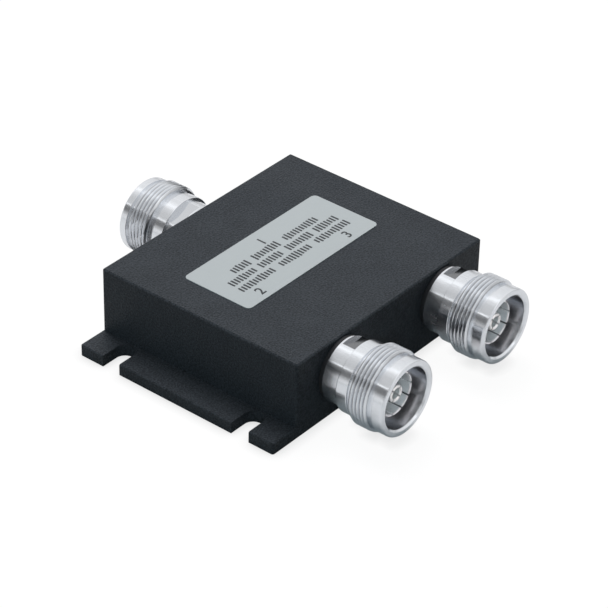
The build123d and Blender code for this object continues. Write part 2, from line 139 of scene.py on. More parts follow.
class Graph:
    """A node tree under construction, with short calls for its nodes."""

    def __init__(self, tree: bpy.types.NodeTree) -> None:
        """Wraps a tree."""
        self.tree = tree

    @staticmethod
    def pick(sockets: bpy.types.NodeInputs, key: str | int) -> bpy.types.NodeSocket:
        """Finds a socket by index, or the enabled one by name.

        Args:
            sockets: A node's inputs or outputs.
            key: Index or name.

        Returns:
            The socket.
        """
        if isinstance(key, int):
            return sockets[key]
        return next(socket for socket in sockets if socket.name == key and socket.enabled)

    def feed(self, socket: bpy.types.NodeSocket, value: object) -> None:
        """Fills an input.

        Args:
            socket: The input.
            value: A graph value to link, or a plain number, colour or name.
        """
        if isinstance(value, Value):
            self.tree.links.new(value.socket, socket)
        else:
            socket.default_value = value

    def node(self, kind: str, inputs: dict | None = None, **settings: object) -> bpy.types.Node:
        """Adds a node.

        Args:
            kind: Node type identifier.
            inputs: Input name or index to what feeds it.
            settings: Attributes set on the node before its inputs are filled.

        Returns:
            The new node.
        """
        made = self.tree.nodes.new(kind)
        for name, setting in settings.items():
            setattr(made, name, setting)
        for key, value in (inputs or {}).items():
            self.feed(self.pick(made.inputs, key), value)
        return made

    def out(
        self, kind: str, inputs: dict | None = None, output: str | int = 0, **settings: object
    ) -> Value:
        """Adds a node and gives one of its outputs, by name or index."""
        return Value(self, self.pick(self.node(kind, inputs, **settings).outputs, output))

    def effect(self, tree: bpy.types.NodeTree, **inputs: object) -> dict[str, Value]:
        """Places a shared effect and gives its outputs by name."""
        made = self.node("ShaderNodeGroup", inputs, node_tree=tree)
        return {socket.name: Value(self, socket) for socket in made.outputs}

    def math(self, operation: str, *values: Amount, clamp: bool = False) -> Value:
        """Adds a Math node, whose result may be held between 0 and 1."""
        inputs = dict(enumerate(values))
        return self.out("ShaderNodeMath", inputs, operation=operation, use_clamp=clamp)

    def mix_value(self, factor: Amount, low: Amount, high: Amount) -> Value:
        """Blends two numbers by a factor from 0 to 1."""
        return self.out("ShaderNodeMix", {0: factor, 2: low, 3: high}, 0, data_type="FLOAT")

    def mix_colour(self, factor: Amount, low: object, high: object) -> Value:
        """Blends two colours, each with alpha, by a factor from 0 to 1."""
        return self.out("ShaderNodeMix", {0: factor, 6: low, 7: high}, 2, data_type="RGBA")

    def span(self, value: Amount, low: Amount, high: Amount) -> Value:
        """Maps a value to 0 at low and 1 at high, held between them."""
        inputs = {0: value, 1: low, 2: high, 3: 0.0, 4: 1.0}
        return self.out("ShaderNodeMapRange", inputs, clamp=True)

    def split(self, vector: Value) -> list[Value]:
        """X, Y and Z of a vector."""
        made = self.node("ShaderNodeSeparateXYZ", {0: vector})
        return [Value(self, socket) for socket in made.outputs]

    def join(self, x: Amount = 0.0, y: Amount = 0.0, z: Amount = 0.0) -> Value:
        """A vector from its three parts."""
        return self.out("ShaderNodeCombineXYZ", {0: x, 1: y, 2: z})

    def place(self) -> Value:
        """Object coordinates of the piece, in metres."""
        return self.out("ShaderNodeTexCoord", output="Object")

    def bump(self, height: Value, relief: float, strength: float) -> Value:
        """Normal bent by a height, with its full relief in millimetres."""
        inputs = {"Height": height, "Distance": relief * MM, "Strength": strength}
        return self.out("ShaderNodeBump", inputs)


def fresh_graph(owner: bpy.types.Material | bpy.types.World) -> Graph:
    """Empties the node tree of a material or world.

    Args:
        owner: The material or world.

    Returns:
        Its graph, without any node.
    """
    owner.use_nodes = True
    owner.node_tree.nodes.clear()
    return Graph(owner.node_tree)


class Sort(Enum):
    """Socket types in a group's interface."""

    NUMBER = "NodeSocketFloat"
    COUNT = "NodeSocketInt"
    VECTOR = "NodeSocketVector"
    GEOMETRY = "NodeSocketGeometry"
    MATERIAL = "NodeSocketMaterial"
    OBJECT = "NodeSocketObject"

    @classmethod
    def of(cls, given: Sort | float) -> Sort:
        """The type itself, or the type of a default value."""
        number = cls.COUNT if isinstance(given, int) else cls.NUMBER
        return given if isinstance(given, Sort) else number


class TreeKind(Enum):
    """Kinds of node group, and what their outputs carry."""

    SHADER = ("ShaderNodeTree", Sort.NUMBER)
    GEOMETRY = ("GeometryNodeTree", Sort.GEOMETRY)


class GroupGraph(Graph):
    """A node group with named inputs and outputs."""

    def __init__(
        self, name: str, kind: TreeKind, inputs: dict[str, Sort | float], outputs: Sequence[str]
    ) -> None:
        """Builds the group's interface.

        Args:
            name: Name of the group.
            kind: Kind of tree.
            inputs: Input name to its socket type, or to its default value.
            outputs: Names of its outputs.
        """
        tree_type, sort = kind.value
        super().__init__(bpy.data.node_groups.new(name, tree_type))
        self.identifiers: dict[str, str] = {}
        interface = self.tree.interface
        for label, given in inputs.items():
            socket_type = Sort.of(given).value
            item = interface.new_socket(name=label, in_out="INPUT", socket_type=socket_type)
            if not isinstance(given, Sort):
                item.default_value = given
            self.identifiers[label] = item.identifier
        for label in outputs:
            interface.new_socket(name=label, in_out="OUTPUT", socket_type=sort.value)
        self.source = self.tree.nodes.new("NodeGroupInput")
        self.sink = self.tree.nodes.new("NodeGroupOutput")

    def __getitem__(self, label: str) -> Value:
        """The group's input of that name, seen from inside."""
        return Value(self, self.source.outputs[label])

    def put(self, label: str, value: Value) -> None:
        """Feeds the group's output of that name."""
        self.feed(self.sink.inputs[label], value)


class ShapeTree(GroupGraph):
    """Geometry Nodes that grow a piece of one material on loose seed points."""

    def __init__(self, name: str, inputs: dict[str, Sort | float]) -> None:
        """Adds the geometry and the material to a tree's own inputs.

        Args:
            name: Name of the tree.
            inputs: Its own inputs, as a group's.
        """
        named = {"Geometry": Sort.GEOMETRY, **inputs, "Material": Sort.MATERIAL}
        super().__init__(name, TreeKind.GEOMETRY, named, ["Geometry"])

    def close(self, shape: Value) -> None:
        """Makes all copies real and gives the result its material.

        Args:
            shape: The grown geometry.
        """
        real = self.out("GeometryNodeRealizeInstances", {"Geometry": shape})
        inputs = {"Geometry": real, "Material": self["Material"]}
        self.put("Geometry", self.out("GeometryNodeSetMaterial", inputs))

    def run(
        self, name: str, seeds: Iterable[Sequence[float]], values: dict[str, object]
    ) -> bpy.types.Object:
        """Runs the tree on seed points and freezes the result.

        Args:
            name: Name of the piece.
            seeds: Points in metres.
            values: Values of the inputs by name.

        Returns:
            The piece as a plain mesh.
        """
        mesh = bpy.data.meshes.new(name)
        mesh.from_pydata([tuple(point) for point in seeds], [], [])
        made = mesh_object(name, mesh)
        modifier = made.modifiers.new(self.tree.name, "NODES")
        modifier.node_group = self.tree
        for label, value in values.items():
            modifier[self.identifiers[label]] = value
        return freeze(made)


# ---------------------------------------------------------------- mesh helpers


def add_object(name: str, data: bpy.types.ID) -> bpy.types.Object:
    """Puts a mesh, curve, lamp or camera in the scene, at the origin.

    Args:
        name: Name of the object.
        data: What it shows.

    Returns:
        The object.
    """
    made = bpy.data.objects.new(name, data)
    bpy.context.scene.collection.objects.link(made)
    return made


def mesh_object(name: str, shape: bpy.types.Mesh | bmesh.types.BMesh) -> bpy.types.Object:
    """Puts a mesh or a finished bmesh in the scene.

    Args:
        name: Name of the object.
        shape: Its mesh, or a bmesh that is freed.

    Returns:
        The object, at the origin.
    """
    if isinstance(shape, bmesh.types.BMesh):
        work, shape = shape, bpy.data.meshes.new(name)
        work.to_mesh(shape)
        work.free()
    return add_object(name, shape)


def evaluated_mesh(made: bpy.types.Object) -> bpy.types.Mesh:
    """Freezes an object's modifiers into a new plain mesh.

    Args:
        made: Object whose evaluated shape is wanted.

    Returns:
        A new mesh that no modifier changes.
    """
    bpy.context.view_layer.update()
    graph = bpy.context.evaluated_depsgraph_get()
    return bpy.data.meshes.new_from_object(
        made.evaluated_get(graph), preserve_all_data_layers=True, depsgraph=graph
    )


def freeze(made: bpy.types.Object) -> bpy.types.Object:
    """Replaces an object's mesh by its evaluated one and removes its modifiers.

    Args:
        made: The object, changed in place.

    Returns:
        The same object.
    """
    mesh = evaluated_mesh(made)
    made.modifiers.clear()
    made.data = mesh
    return made


def add_modifier(made: bpy.types.Object, kind: str, **settings: object) -> None:
    """Adds a modifier.

    Args:
        made: Object that gets it.
        kind: Modifier type.
        settings: Its attributes by name.
    """
    modifier = made.modifiers.new(kind.lower(), kind)
    for name, setting in settings.items():
        setattr(modifier, name, setting)


def tidy_mesh(mesh: bpy.types.Mesh, sharp_deg: float, merge: float = 0.0) -> None:
    """Merges doubles, turns faces outwards, and smooths all but the sharp edges.

    Args:
        mesh: Mesh that is changed in place.
        sharp_deg: Edges that bend more than this stay sharp.
        merge: Merge distance in metres, 0 for none.
    """
    work = bmesh.new()
    work.from_mesh(mesh)
    if merge > 0:
        bmesh.ops.remove_doubles(work, verts=work.verts, dist=merge)
    bmesh.ops.recalc_face_normals(work, faces=work.faces)
    for face in work.faces:
        face.smooth = True
    work.to_mesh(mesh)
    work.free()
    mesh.set_sharp_from_angle(angle=math.radians(sharp_deg))


def dress(made: bpy.types.Object, material: bpy.types.Material) -> bpy.types.Object:
    """Gives an object one material in all its slots.

    Args:
        made: The object, changed in place.
        material: Its material.

    Returns:
        The same object.
    """
    if not made.material_slots:
        made.data.materials.append(material)
    for slot in made.material_slots:
        slot.material = material
    return made


def seat(made: bpy.types.Object, replaces: Sequence[str] = ()) -> None:
    """Hands a finished piece to the frame and reports it.

    Args:
        made: The piece.
        replaces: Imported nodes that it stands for.
    """
    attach(made, BODY)
    if replaces:
        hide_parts(*replaces)
    triangles = sum(len(face.vertices) - 2 for face in made.data.polygons)
    log.info("%-28s %7d triangles", made.name, triangles)


# ---------------------------------------------------------------- turned pieces


def softened(
    corners: Sequence[Corner], amount: float, sharp: Iterable[float] = ()
) -> list[Corner]:
    """Breaks the corners of a closed profile with small rounds.

    Each round gets a support point on both sides, so smooth shading stays on it.

    Args:
        corners: Radius and height pairs of a closed profile.
        amount: Length cut from each side of a corner, less on short sides.
        sharp: Heights of the corners that stay as they are.

    Returns:
        The profile's new corners.
    """
    steps, reach, furthest = (0.0, 0.29, 0.5, 0.71, 1.0), 1.35, 0.45
    keep = {round(height, 5) for height in sharp}
    out: list[Corner] = []
    for index, corner in enumerate(corners):
        if round(corner[1], 5) in keep or corner[0] < TINY:
            out.append(corner)
            continue
        here = Vector(corner)
        before, after = (Vector(corners[(index + step) % len(corners)]) - here for step in (-1, 1))
        cut = min(amount, before.length / 3, after.length / 3)
        start, end = here + before.normalized() * cut, here + after.normalized() * cut
        arc = [start * (1 - t) ** 2 + here * (2 * t * (1 - t)) + end * t**2 for t in steps]
        support, last = (
            here + side.normalized() * min(cut * reach, side.length * furthest)
            for side in (before, after)
        )
        out += [tuple(point) for point in (support, *arc, last)]
    return out


@dataclass(frozen=True)
class Thread:
    """A metric thread cut on a turned piece, between two heights."""

    start: float
    end: float
    radius: float
    pitch: float

    def covers(self, corner: Corner) -> bool:
        """Tells whether the thread is cut at a point of a profile.

        Args:
            corner: Radius and height of the point.

        Returns:
            True where it lies along the thread and near its radius.
        """
        margin = 1.5
        deepest = self.radius - THREAD_DEPTH * self.pitch * margin
        return self.start <= corner[1] <= self.end and corner[0] > deepest


@dataclass(frozen=True)
class Flats:
    """Two opposite wrench flats: their width, the heights they lie between, their turn."""

    across: float = 0.0
    start: float = 0.0
    end: float = 0.0
    turn_deg: float = 0.0


class TurnedTree(ShapeTree):
    """Geometry Nodes that revolve a profile and cut flats and up to two threads.

    Attributes:
        bore_shade_share: Strength of the painted shade in the bore, where a thread's root is 1.
        crest_share: Half a crest's width, as a share of the pitch.
        flank_share: A flank's width, as a share of the pitch.
        root_fall: How steeply the mask of the painted root shade falls towards the crest.
        least_slant: Least cosine that a flat's distance is divided by.
        unrolled_width: Share of the radius in the height of the UV map.
        whole_face: Least share of a face's corners on a flat that marks the face.
        seam: Distance in metres at which the seam's points merge.
    """

    bore_shade_share = 0.12
    crest_share = 1 / 16
    flank_share = 5 / 16
    root_fall = 4.0
    least_slant = 0.05
    unrolled_width = 1.7
    whole_face = 0.9
    seam = 1e-7

    def __init__(self) -> None:
        """Builds the tree: grid, sampled profile, cuts, seam and material."""
        names = ["Flats Across", "Flats Start", "Flats End", "Flats Turn"]
        names += ["Bore Radius", "Bore Start"]
        names += [f"{place} {size}" for place in THREAD_PLACES for size in THREAD_SIZES]
        super().__init__("turned_piece", {"Segments": 144, "Rows": 8} | dict.fromkeys(names, 0.0))
        index = self.out("GeometryNodeInputIndex")
        inside = 0.25  # keeps the first point of a column from rounding into the one before
        turn = self.math("FLOOR", (index + inside) / self["Rows"]) / self["Segments"]
        angle = turn * (2 * math.pi) + self["Flats Turn"]
        radius, height = self._sampled(self.math("MODULO", index, self["Rows"]))
        # painted shade: the bore's wall is darkened as if in shade
        bore_shade = (radius < self["Bore Radius"]) * self.bore_shade_share * (height > self["Bore Start"])
        radius, flat = self._flats(radius, height, angle)
        radius, root = self._thread("Front", radius, height, turn)
        radius, rear_root = self._thread("Rear", radius, height, turn)
        counts = {"Vertices X": self["Segments"] + 1.0, "Vertices Y": self["Rows"]}
        shape = self.out("GeometryNodeMeshGrid", counts, "Mesh")
        unrolled = self.join(turn, height + radius * self.unrolled_width)
        shape = self._store(shape, UV_NAME, unrolled, "FLOAT2", "CORNER")
        settings = {"data_type": "FLOAT", "domain": "POINT"}
        share = self.out("GeometryNodeFieldOnDomain", {"Value": flat}, "Value", **settings)
        shape = self._store(shape, FLAT_NAME, share > self.whole_face, "FLOAT", "FACE")
        # painted shade in the thread roots and the bore, kept as one mask
        painted_shade = self.math("MAXIMUM", bore_shade, self.math("MAXIMUM", root, rear_root))
        shape = self._store(shape, PAINTED_SHADE_NAME, painted_shade, "FLOAT", "POINT")
        x, y = (radius * self.math(wave, angle) for wave in ("COSINE", "SINE"))
        moved = {"Geometry": shape, "Position": self.join(x, y, height)}
        shape = self.out("GeometryNodeSetPosition", moved)
        closed = {"Geometry": shape, "Distance": self.seam}
        self.close(self.out("GeometryNodeMergeByDistance", closed))

    def _sampled(self, row: Value) -> tuple[Value, Value]:
        """Radius and height of the profile's point in a row.

        Args:
            row: Index of the point.

        Returns:
            Its radius and its height.
        """
        position = self.out("GeometryNodeInputPosition")
        inputs = {"Geometry": self["Geometry"], "Value": position, "Index": row}
        settings = {"data_type": "FLOAT_VECTOR", "domain": "POINT"}
        sample = self.out("GeometryNodeSampleIndex", inputs, "Value", **settings)
        radius, _, height = self.split(sample)
        return radius, height

    def _store(self, shape: Value, name: str, value: Value, data_type: str, domain: str) -> Value:
        """Keeps a value on a shape as a named attribute.

        Args:
            shape: The geometry.
            name: Name of the attribute.
            value: What it holds.
            data_type: Its type.
            domain: What carries it.

        Returns:
            The geometry with the attribute.
        """
        inputs = {"Geometry": shape, "Name": name, "Value": value}
        settings = {"data_type": data_type, "domain": domain}
        return self.out("GeometryNodeStoreNamedAttribute", inputs, **settings)

    def _flats(self, radius: Value, height: Value, angle: Value) -> tuple[Value, Value]:
        """Cuts two opposite wrench flats.

        Args:
            radius: Radius before the cut.
            height: Height along the axis.
            angle: Angle round the axis.

        Returns:
            The radius after it, and a mask that is 1 on the flats.
        """
        quarter = math.pi / 2
        folded = self.math("WRAP", angle - self["Flats Turn"], math.pi, 0.0)
        away = quarter - abs(folded - quarter)
        slant = self.math("MAXIMUM", self.math("COSINE", away), self.least_slant)
        limit = self["Flats Across"] * 0.5 / slant
        zone = (height > self["Flats Start"]) * (height < self["Flats End"])
        on = zone * (limit < radius + TINY)
        return self.mix_value(on, radius, limit), on

    def _thread(
        self, place: str, radius: Value, height: Value, turn: Value
    ) -> tuple[Value, Value]:
        """Cuts a right-hand metric thread.

        Args:
            place: Which of the two threads.
            radius: Radius before the cut.
            height: Height along the axis.
            turn: Share of a turn round the axis.

        Returns:
            The radius after it, and a mask that is 1 in the thread's roots, where shade is painted.
        """
        start, end, crest, lead = (self[f"{place} {size}"] for size in THREAD_SIZES)
        pitch = self.math("MAXIMUM", lead, TINY)
        phase = self.math("WRAP", (height - start) / pitch - turn, 1.0, 0.0)
        from_crest = abs(phase - 0.5) - self.crest_share
        flank = self.math("DIVIDE", from_crest, self.flank_share, clamp=True)
        cut = self.math("MINIMUM", radius, crest - pitch * THREAD_DEPTH * flank)
        on = (height > start) * (height < end)
        near = radius > crest - pitch
        root = self.math("POWER", flank, self.root_fall)
        return self.mix_value(on, radius, cut), on * near * root


@dataclass(frozen=True)
class TurnedPiece:
    """A piece turned on a lathe from a closed profile.

    Attributes:
        name: Name of the piece.
        corners: Closed profile as radius and height pairs.
        soft: Size of the small rounds that break its corners.
        segments: Number of sides round the axis.
        flats: Its wrench flats.
        threads: Up to two threads.
        sharp: Heights of the corners that get no round.
        bore: Radius below which the bore gets painted shade, and the height where it starts.
    """

    name: str
    corners: list[Corner]
    soft: float
    segments: int
    flats: Flats = Flats()
    threads: tuple[Thread, ...] = ()
    sharp: tuple[float, ...] = ()
    bore: Corner = (0.0, 0.0)

    def profile(self) -> list[Corner]:
        """Softened profile with close rows where a thread is cut, closed on itself.

        Returns:
            Radius and height pairs, the last one the same as the first.
        """
        rows_per_pitch = 12
        corners = softened(self.corners, self.soft, self.sharp)
        out: list[Corner] = []
        for corner, after in zip(corners, corners[1:] + corners[:1]):
            out.append(corner)
            for thread in self.threads:
                if thread.covers(corner) and thread.covers(after):
                    count = int(math.dist(corner, after) / (thread.pitch / rows_per_pitch))
                    out += [
                        tuple(a + (b - a) * step / (count + 1) for a, b in zip(corner, after))
                        for step in range(1, count + 1)
                    ]
        return out + out[:1]

    def build(self, tree: TurnedTree, material: bpy.types.Material) -> bpy.types.Object:
        """Runs the tree on the profile and freezes the result.

        Args:
            tree: The shared turning tree.
            material: Finish of the whole piece.

        Returns:
            The piece as a plain mesh along local Z, in metres.
        """
        rows = self.profile()
        lengths = {
            "Flats Across": self.flats.across,
            "Flats Start": self.flats.start,
            "Flats End": self.flats.end,
            "Bore Radius": self.bore[0],
            "Bore Start": self.bore[1],
        }
        for place, thread in zip(THREAD_PLACES, self.threads):
            lengths |= {f"{place} {size}": getattr(thread, size.lower()) for size in THREAD_SIZES}
        values: dict[str, object] = {label: length * MM for label, length in lengths.items()}
        values |= {"Segments": self.segments, "Rows": len(rows), "Material": material}
        values["Flats Turn"] = math.radians(self.flats.turn_deg)
        made = tree.run(self.name, [(r * MM, 0.0, z * MM) for r, z in rows], values)
        tidy_mesh(made.data, sharp_deg=25.0)
        return made


# ---------------------------------------------------------------- shared effects


class Effects:
    """Shader groups that several finishes share, each with masks and heights."""

    def __init__(self) -> None:
        """Builds every group once."""
        self.grain = self._grain()
        self.turning = self._turning()
        self.brushing = self._brushing()
        self.handling = self._handling()

    @staticmethod
    def _grain() -> bpy.types.NodeTree:
        """Fine pebbled grain of a coat or moulding.

        Returns:
            A group with a mask and a height.
        """
        inputs = {"Vector": Sort.VECTOR, "Size": 0.0003, "Softness": 0.18}
        g = GroupGraph("fine_grain", TreeKind.SHADER, inputs, ["Mask", "Height"])
        fine_share, broad_share, pebble_share = 0.88, 0.12, 0.6
        pebble_scale, broad_scale = 0.8, 0.06
        place, scale = g["Vector"], 1.0 / g["Size"]
        fine = g.out("ShaderNodeTexNoise", {"Vector": place, "Scale": scale, "Detail": 3.0})
        broad = g.out("ShaderNodeTexNoise", {"Vector": place, "Scale": scale * broad_scale})
        cells = {"Vector": place, "Scale": scale * pebble_scale}
        pebbles = g.out("ShaderNodeTexVoronoi", cells, "Distance")
        g.put("Height", fine + pebbles * pebble_share)
        mixed = fine * fine_share + broad * broad_share
        g.put("Mask", g.span(mixed, 0.5 - g["Softness"], g["Softness"] + 0.5))
        return g.tree

    @staticmethod
    def _turning() -> bpy.types.NodeTree:
        """Fine lathe lines that run round a turned piece, from its own UV map.

        Returns:
            A group with a mask and a height.
        """
        inputs = {"UV": Sort.VECTOR, "Feed": 0.00008}
        g = GroupGraph("turning_lines", TreeKind.SHADER, inputs, ["Mask", "Height"])
        line_share, band_share, band_scale = 0.6, 0.4, 0.09
        along, scale = g.split(g["UV"])[1], 1.0 / g["Feed"]
        lines, bands = (
            g.out("ShaderNodeTexNoise", {"W": along, "Scale": density}, noise_dimensions="1D")
            for density in (scale, scale * band_scale)
        )
        g.put("Height", lines)
        g.put("Mask", g.span(lines * line_share + bands * band_share, 0.35, 0.65))
        return g.tree

    @staticmethod
    def _brushing() -> bpy.types.NodeTree:
        """Milled or drawn lines along one axis, from object coordinates.

        Returns:
            A group with a mask and a height.
        """
        inputs = {"Vector": Sort.VECTOR, "Stretch": Sort.VECTOR}
        g = GroupGraph("milled_lines", TreeKind.SHADER, inputs, ["Mask", "Height"])
        sides = {0: g["Vector"], 1: g["Stretch"]}
        pulled = g.out("ShaderNodeVectorMath", sides, operation="MULTIPLY")
        lines = g.out("ShaderNodeTexNoise", {"Vector": pulled, "Scale": 1.0, "Detail": 3.0})
        g.put("Height", lines)
        g.put("Mask", g.span(lines, 0.3, 0.7))
        return g.tree

    @staticmethod
    def _handling() -> bpy.types.NodeTree:
        """Broad soft variation of gloss, as handling leaves on a clean product.

        Returns:
            A group with a mask.
        """
        inputs = {"Vector": Sort.VECTOR, "Size": 0.01}
        g = GroupGraph("handling_haze", TreeKind.SHADER, inputs, ["Mask"])
        cloud = {"Vector": g["Vector"], "Scale": 1.0 / g["Size"], "Detail": 4.0, "Distortion": 0.6}
        g.put("Mask", g.span(g.out("ShaderNodeTexNoise", cloud), 0.38, 0.66))
        return g.tree


# ---------------------------------------------------------------- finishes


def shade(colour: Triple, factor: float = 1.0) -> tuple[float, float, float, float]:
    """A colour made lighter or darker, with alpha."""
    return (*(part * factor for part in colour), 1.0)


def wandering(g: Graph, mask: Value, middle: float) -> Value:
    """Roughness that wanders round its middle value, by a mask."""
    smoother, rougher = 0.04, 0.06
    return g.mix_value(mask, middle - smoother, middle + rougher)


@dataclass(frozen=True)
class Finish:
    """A finish: what the Principled shader of its material is fed with.

    Attributes:
        name: Material name.
        colour: Middle colour.
        tones: Darkest and lightest share of that colour.
    """

    name: str
    colour: Triple
    tones: tuple[float, float]

    def build(self, effects: Effects) -> bpy.types.Material:
        """Makes the material.

        Args:
            effects: The shared shader groups.

        Returns:
            A material with one Principled shader.
        """
        material = bpy.data.materials.new(self.name)
        g = fresh_graph(material)
        shader = g.out("ShaderNodeBsdfPrincipled", self.surface(g, effects))
        g.node("ShaderNodeOutputMaterial", {"Surface": shader})
        return material

    def surface(self, g: Graph, effects: Effects) -> dict[str, object]:
        """What feeds the shader's inputs, given by each kind of finish.

        Args:
            g: The material's graph.
            effects: The shared shader groups.

        Returns:
            Input name to a number or a graph value.
        """
        raise NotImplementedError

    def toned(self, g: Graph, mask: Value) -> Value:
        """The colour from its darkest to its lightest tone, by a mask."""
        return g.mix_colour(mask, *(shade(self.colour, tone) for tone in self.tones))


@dataclass(frozen=True)
class PowderCoat(Finish):
    """Black powder coat; the milled pocket inside the box is left bare.

    Attributes:
        roughness: Least and greatest roughness of the coat.
        gloss: Specular level of the coat.
        grain: Size of one grain.
        softness: Half width of the step between dark and light grain.
        relief: Height of the grain.
        bump: Share of the relief that shows.
        haze: Size of a patch of other gloss.
        pocket: Half sizes and ceiling of the bare pocket, zeros for none.
        pocket_floor: Height where the pocket starts.
        bare: Colour of the milled metal in it.
        bare_tones: Darkest and lightest share of that colour.
        bare_roughness: Its roughness.
        milling: Its milled lines per metre along X, Y and Z.
    """

    name: str = "black_powder_coat"
    colour: Triple = (0.030, 0.034, 0.039)
    tones: tuple[float, float] = (0.66, 1.34)
    roughness: tuple[float, float] = (0.42, 0.50)
    gloss: float = 0.10
    grain: float = 0.42
    softness: float = 0.10
    relief: float = 0.15
    bump: float = 0.7
    haze: float = 18.0
    pocket: Triple = (0.0, 0.0, 0.0)
    pocket_floor: float = 0.4
    bare: Triple = (0.74, 0.74, 0.75)
    bare_tones: tuple[float, float] = (0.9, 1.05)
    bare_roughness: float = 0.34
    milling: Triple = (900.0, 9000.0, 900.0)

    def surface(self, g: Graph, effects: Effects) -> dict[str, object]:
        """Grained coat, and bare metal in the pocket.

        Args:
            g: The material's graph.
            effects: The shared shader groups.

        Returns:
            What feeds the shader's inputs.
        """
        place = g.place()
        size = self.grain * MM
        grain = g.effect(effects.grain, Vector=place, Size=size, Softness=self.softness)
        haze = g.effect(effects.handling, Vector=place, Size=self.haze * MM)
        looks = {
            "Base Color": self.toned(g, grain["Mask"]),
            "Roughness": g.mix_value(haze["Mask"], *self.roughness),
            "Normal": g.bump(grain["Height"], self.relief, self.bump),
            "Specular IOR Level": self.gloss,
        }
        if self.pocket[0] > 0:
            inside = self._inside(g, place)
            lines = g.effect(effects.brushing, Vector=place, Stretch=self.milling)
            bare = (shade(self.bare, tone) for tone in self.bare_tones)
            milled = g.mix_colour(lines["Mask"], *bare)
            looks["Base Color"] = g.mix_colour(inside, looks["Base Color"], milled)
            looks["Roughness"] = g.mix_value(inside, looks["Roughness"], self.bare_roughness)
            looks["Metallic"] = inside
        return looks

    def _inside(self, g: Graph, place: Value) -> Value:
        """Mask of the bare pocket.

        Args:
            g: The material's graph.
            place: Object coordinates.

        Returns:
            1 in the pocket, otherwise 0.
        """
        half_x, half_y, ceiling = (size * MM for size in self.pocket)
        x, y, z = g.split(place)
        level = (z < ceiling) * (z > self.pocket_floor * MM)
        return (abs(x) < half_x) * (abs(y) < half_y) * level


@dataclass(frozen=True)
class TurnedPlating(Finish):
    """Bright plating on turned brass, with lathe lines round the piece.

    Attributes:
        roughness: Roughness of the plating between the lines.
        wander: What haze and lines each add to it.
        feed: Spacing of the lathe lines.
        relief: Height of the lathe lines.
        bump: Share of the relief that shows.
        haze: Size of a patch of other gloss.
        spread: How far highlights stretch across the lines.
        flat_roughness: Roughness of milled wrench flats.
        flat_painted_reflection: Tone painted on the flats for what they mirror, against the turned
            faces.
        root_shade: Tone of the painted shade in the threads' roots against the rest, and in part of
            the bore.
    """

    name: str = "bright_plating"
    colour: Triple = (0.85, 0.872, 0.905)
    tones: tuple[float, float] = (0.95, 1.03)
    roughness: float = 0.18
    wander: float = 0.05
    feed: float = 0.09
    relief: float = 0.004
    bump: float = 0.35
    haze: float = 6.0
    spread: float = 0.88
    flat_roughness: float = 0.12
    flat_painted_reflection: float = 0.26
    root_shade: float = 0.52

    def surface(self, g: Graph, effects: Effects) -> dict[str, object]:
        """Plating with its lathe lines, a painted reflection tone on the flats, and painted shade
        in the thread roots and bore.

        Args:
            g: The material's graph.
            effects: The shared shader groups.

        Returns:
            What feeds the shader's inputs.
        """
        uv = g.out("ShaderNodeUVMap", uv_map=UV_NAME)
        lines = g.effect(effects.turning, UV=uv, Feed=self.feed * MM)
        haze = g.effect(effects.handling, Vector=g.place(), Size=self.haze * MM)
        flat, root = (
            g.out("ShaderNodeAttribute", output="Fac", attribute_name=name)
            for name in (FLAT_NAME, PAINTED_SHADE_NAME)
        )
        # painted reflection: the flats' colour is set darker or lighter for what they mirror
        tone = g.mix_colour(flat, self.toned(g, lines["Mask"]), shade(self.colour, self.flat_painted_reflection))
        rough = g.mix_value(haze["Mask"], self.roughness, self.roughness + self.wander)
        rough = rough + lines["Mask"] * self.wander
        return {
            # painted shade: thread roots and the bore get a darker colour
            "Base Color": g.mix_colour(root, tone, shade(self.colour, self.root_shade)),
            "Roughness": g.mix_value(flat, rough, self.flat_roughness),
            "Normal": g.bump(lines["Height"], self.relief, self.bump),
            "Metallic": 1.0,
            "Anisotropic": g.mix_value(flat, self.spread, 0.0),
            "Anisotropic Rotation": 0.25,
            "Tangent": g.out("ShaderNodeTangent", direction_type="UV_MAP", uv_map=UV_NAME),
        }


@dataclass(frozen=True)
class PlainFinish(Finish):
    """A finish of one colour with grain, haze and a light bump.

    Attributes:
        roughness: Middle roughness.
        grain: Size of its grain.
        relief: Height of its grain.
        metal: Share of bare metal.
        gloss: Specular level.
        clear: Share of a clear glaze over it.
        haze: Size of a patch of other gloss.
        bump: Share of the relief that shows.
    """

    roughness: float
    grain: float
    relief: float
    metal: float = 0.0
    gloss: float = 0.5
    clear: float = 0.0
    haze: float = 9.0
    bump: float = 0.5

    def surface(self, g: Graph, effects: Effects) -> dict[str, object]:
        """Grained colour with patches of other gloss.

        Args:
            g: The material's graph.
            effects: The shared shader groups.

        Returns:
            What feeds the shader's inputs.
        """
        place = g.place()
        grain = g.effect(effects.grain, Vector=place, Size=self.grain * MM)
        haze = g.effect(effects.handling, Vector=place, Size=self.haze * MM)
        return {
            "Base Color": self.toned(g, grain["Mask"]),
            "Roughness": wandering(g, haze["Mask"], self.roughness),
            "Normal": g.bump(grain["Height"], self.relief, self.bump),
            "Metallic": self.metal,
            "Specular IOR Level": self.gloss,
            "Coat Weight": self.clear,
        }


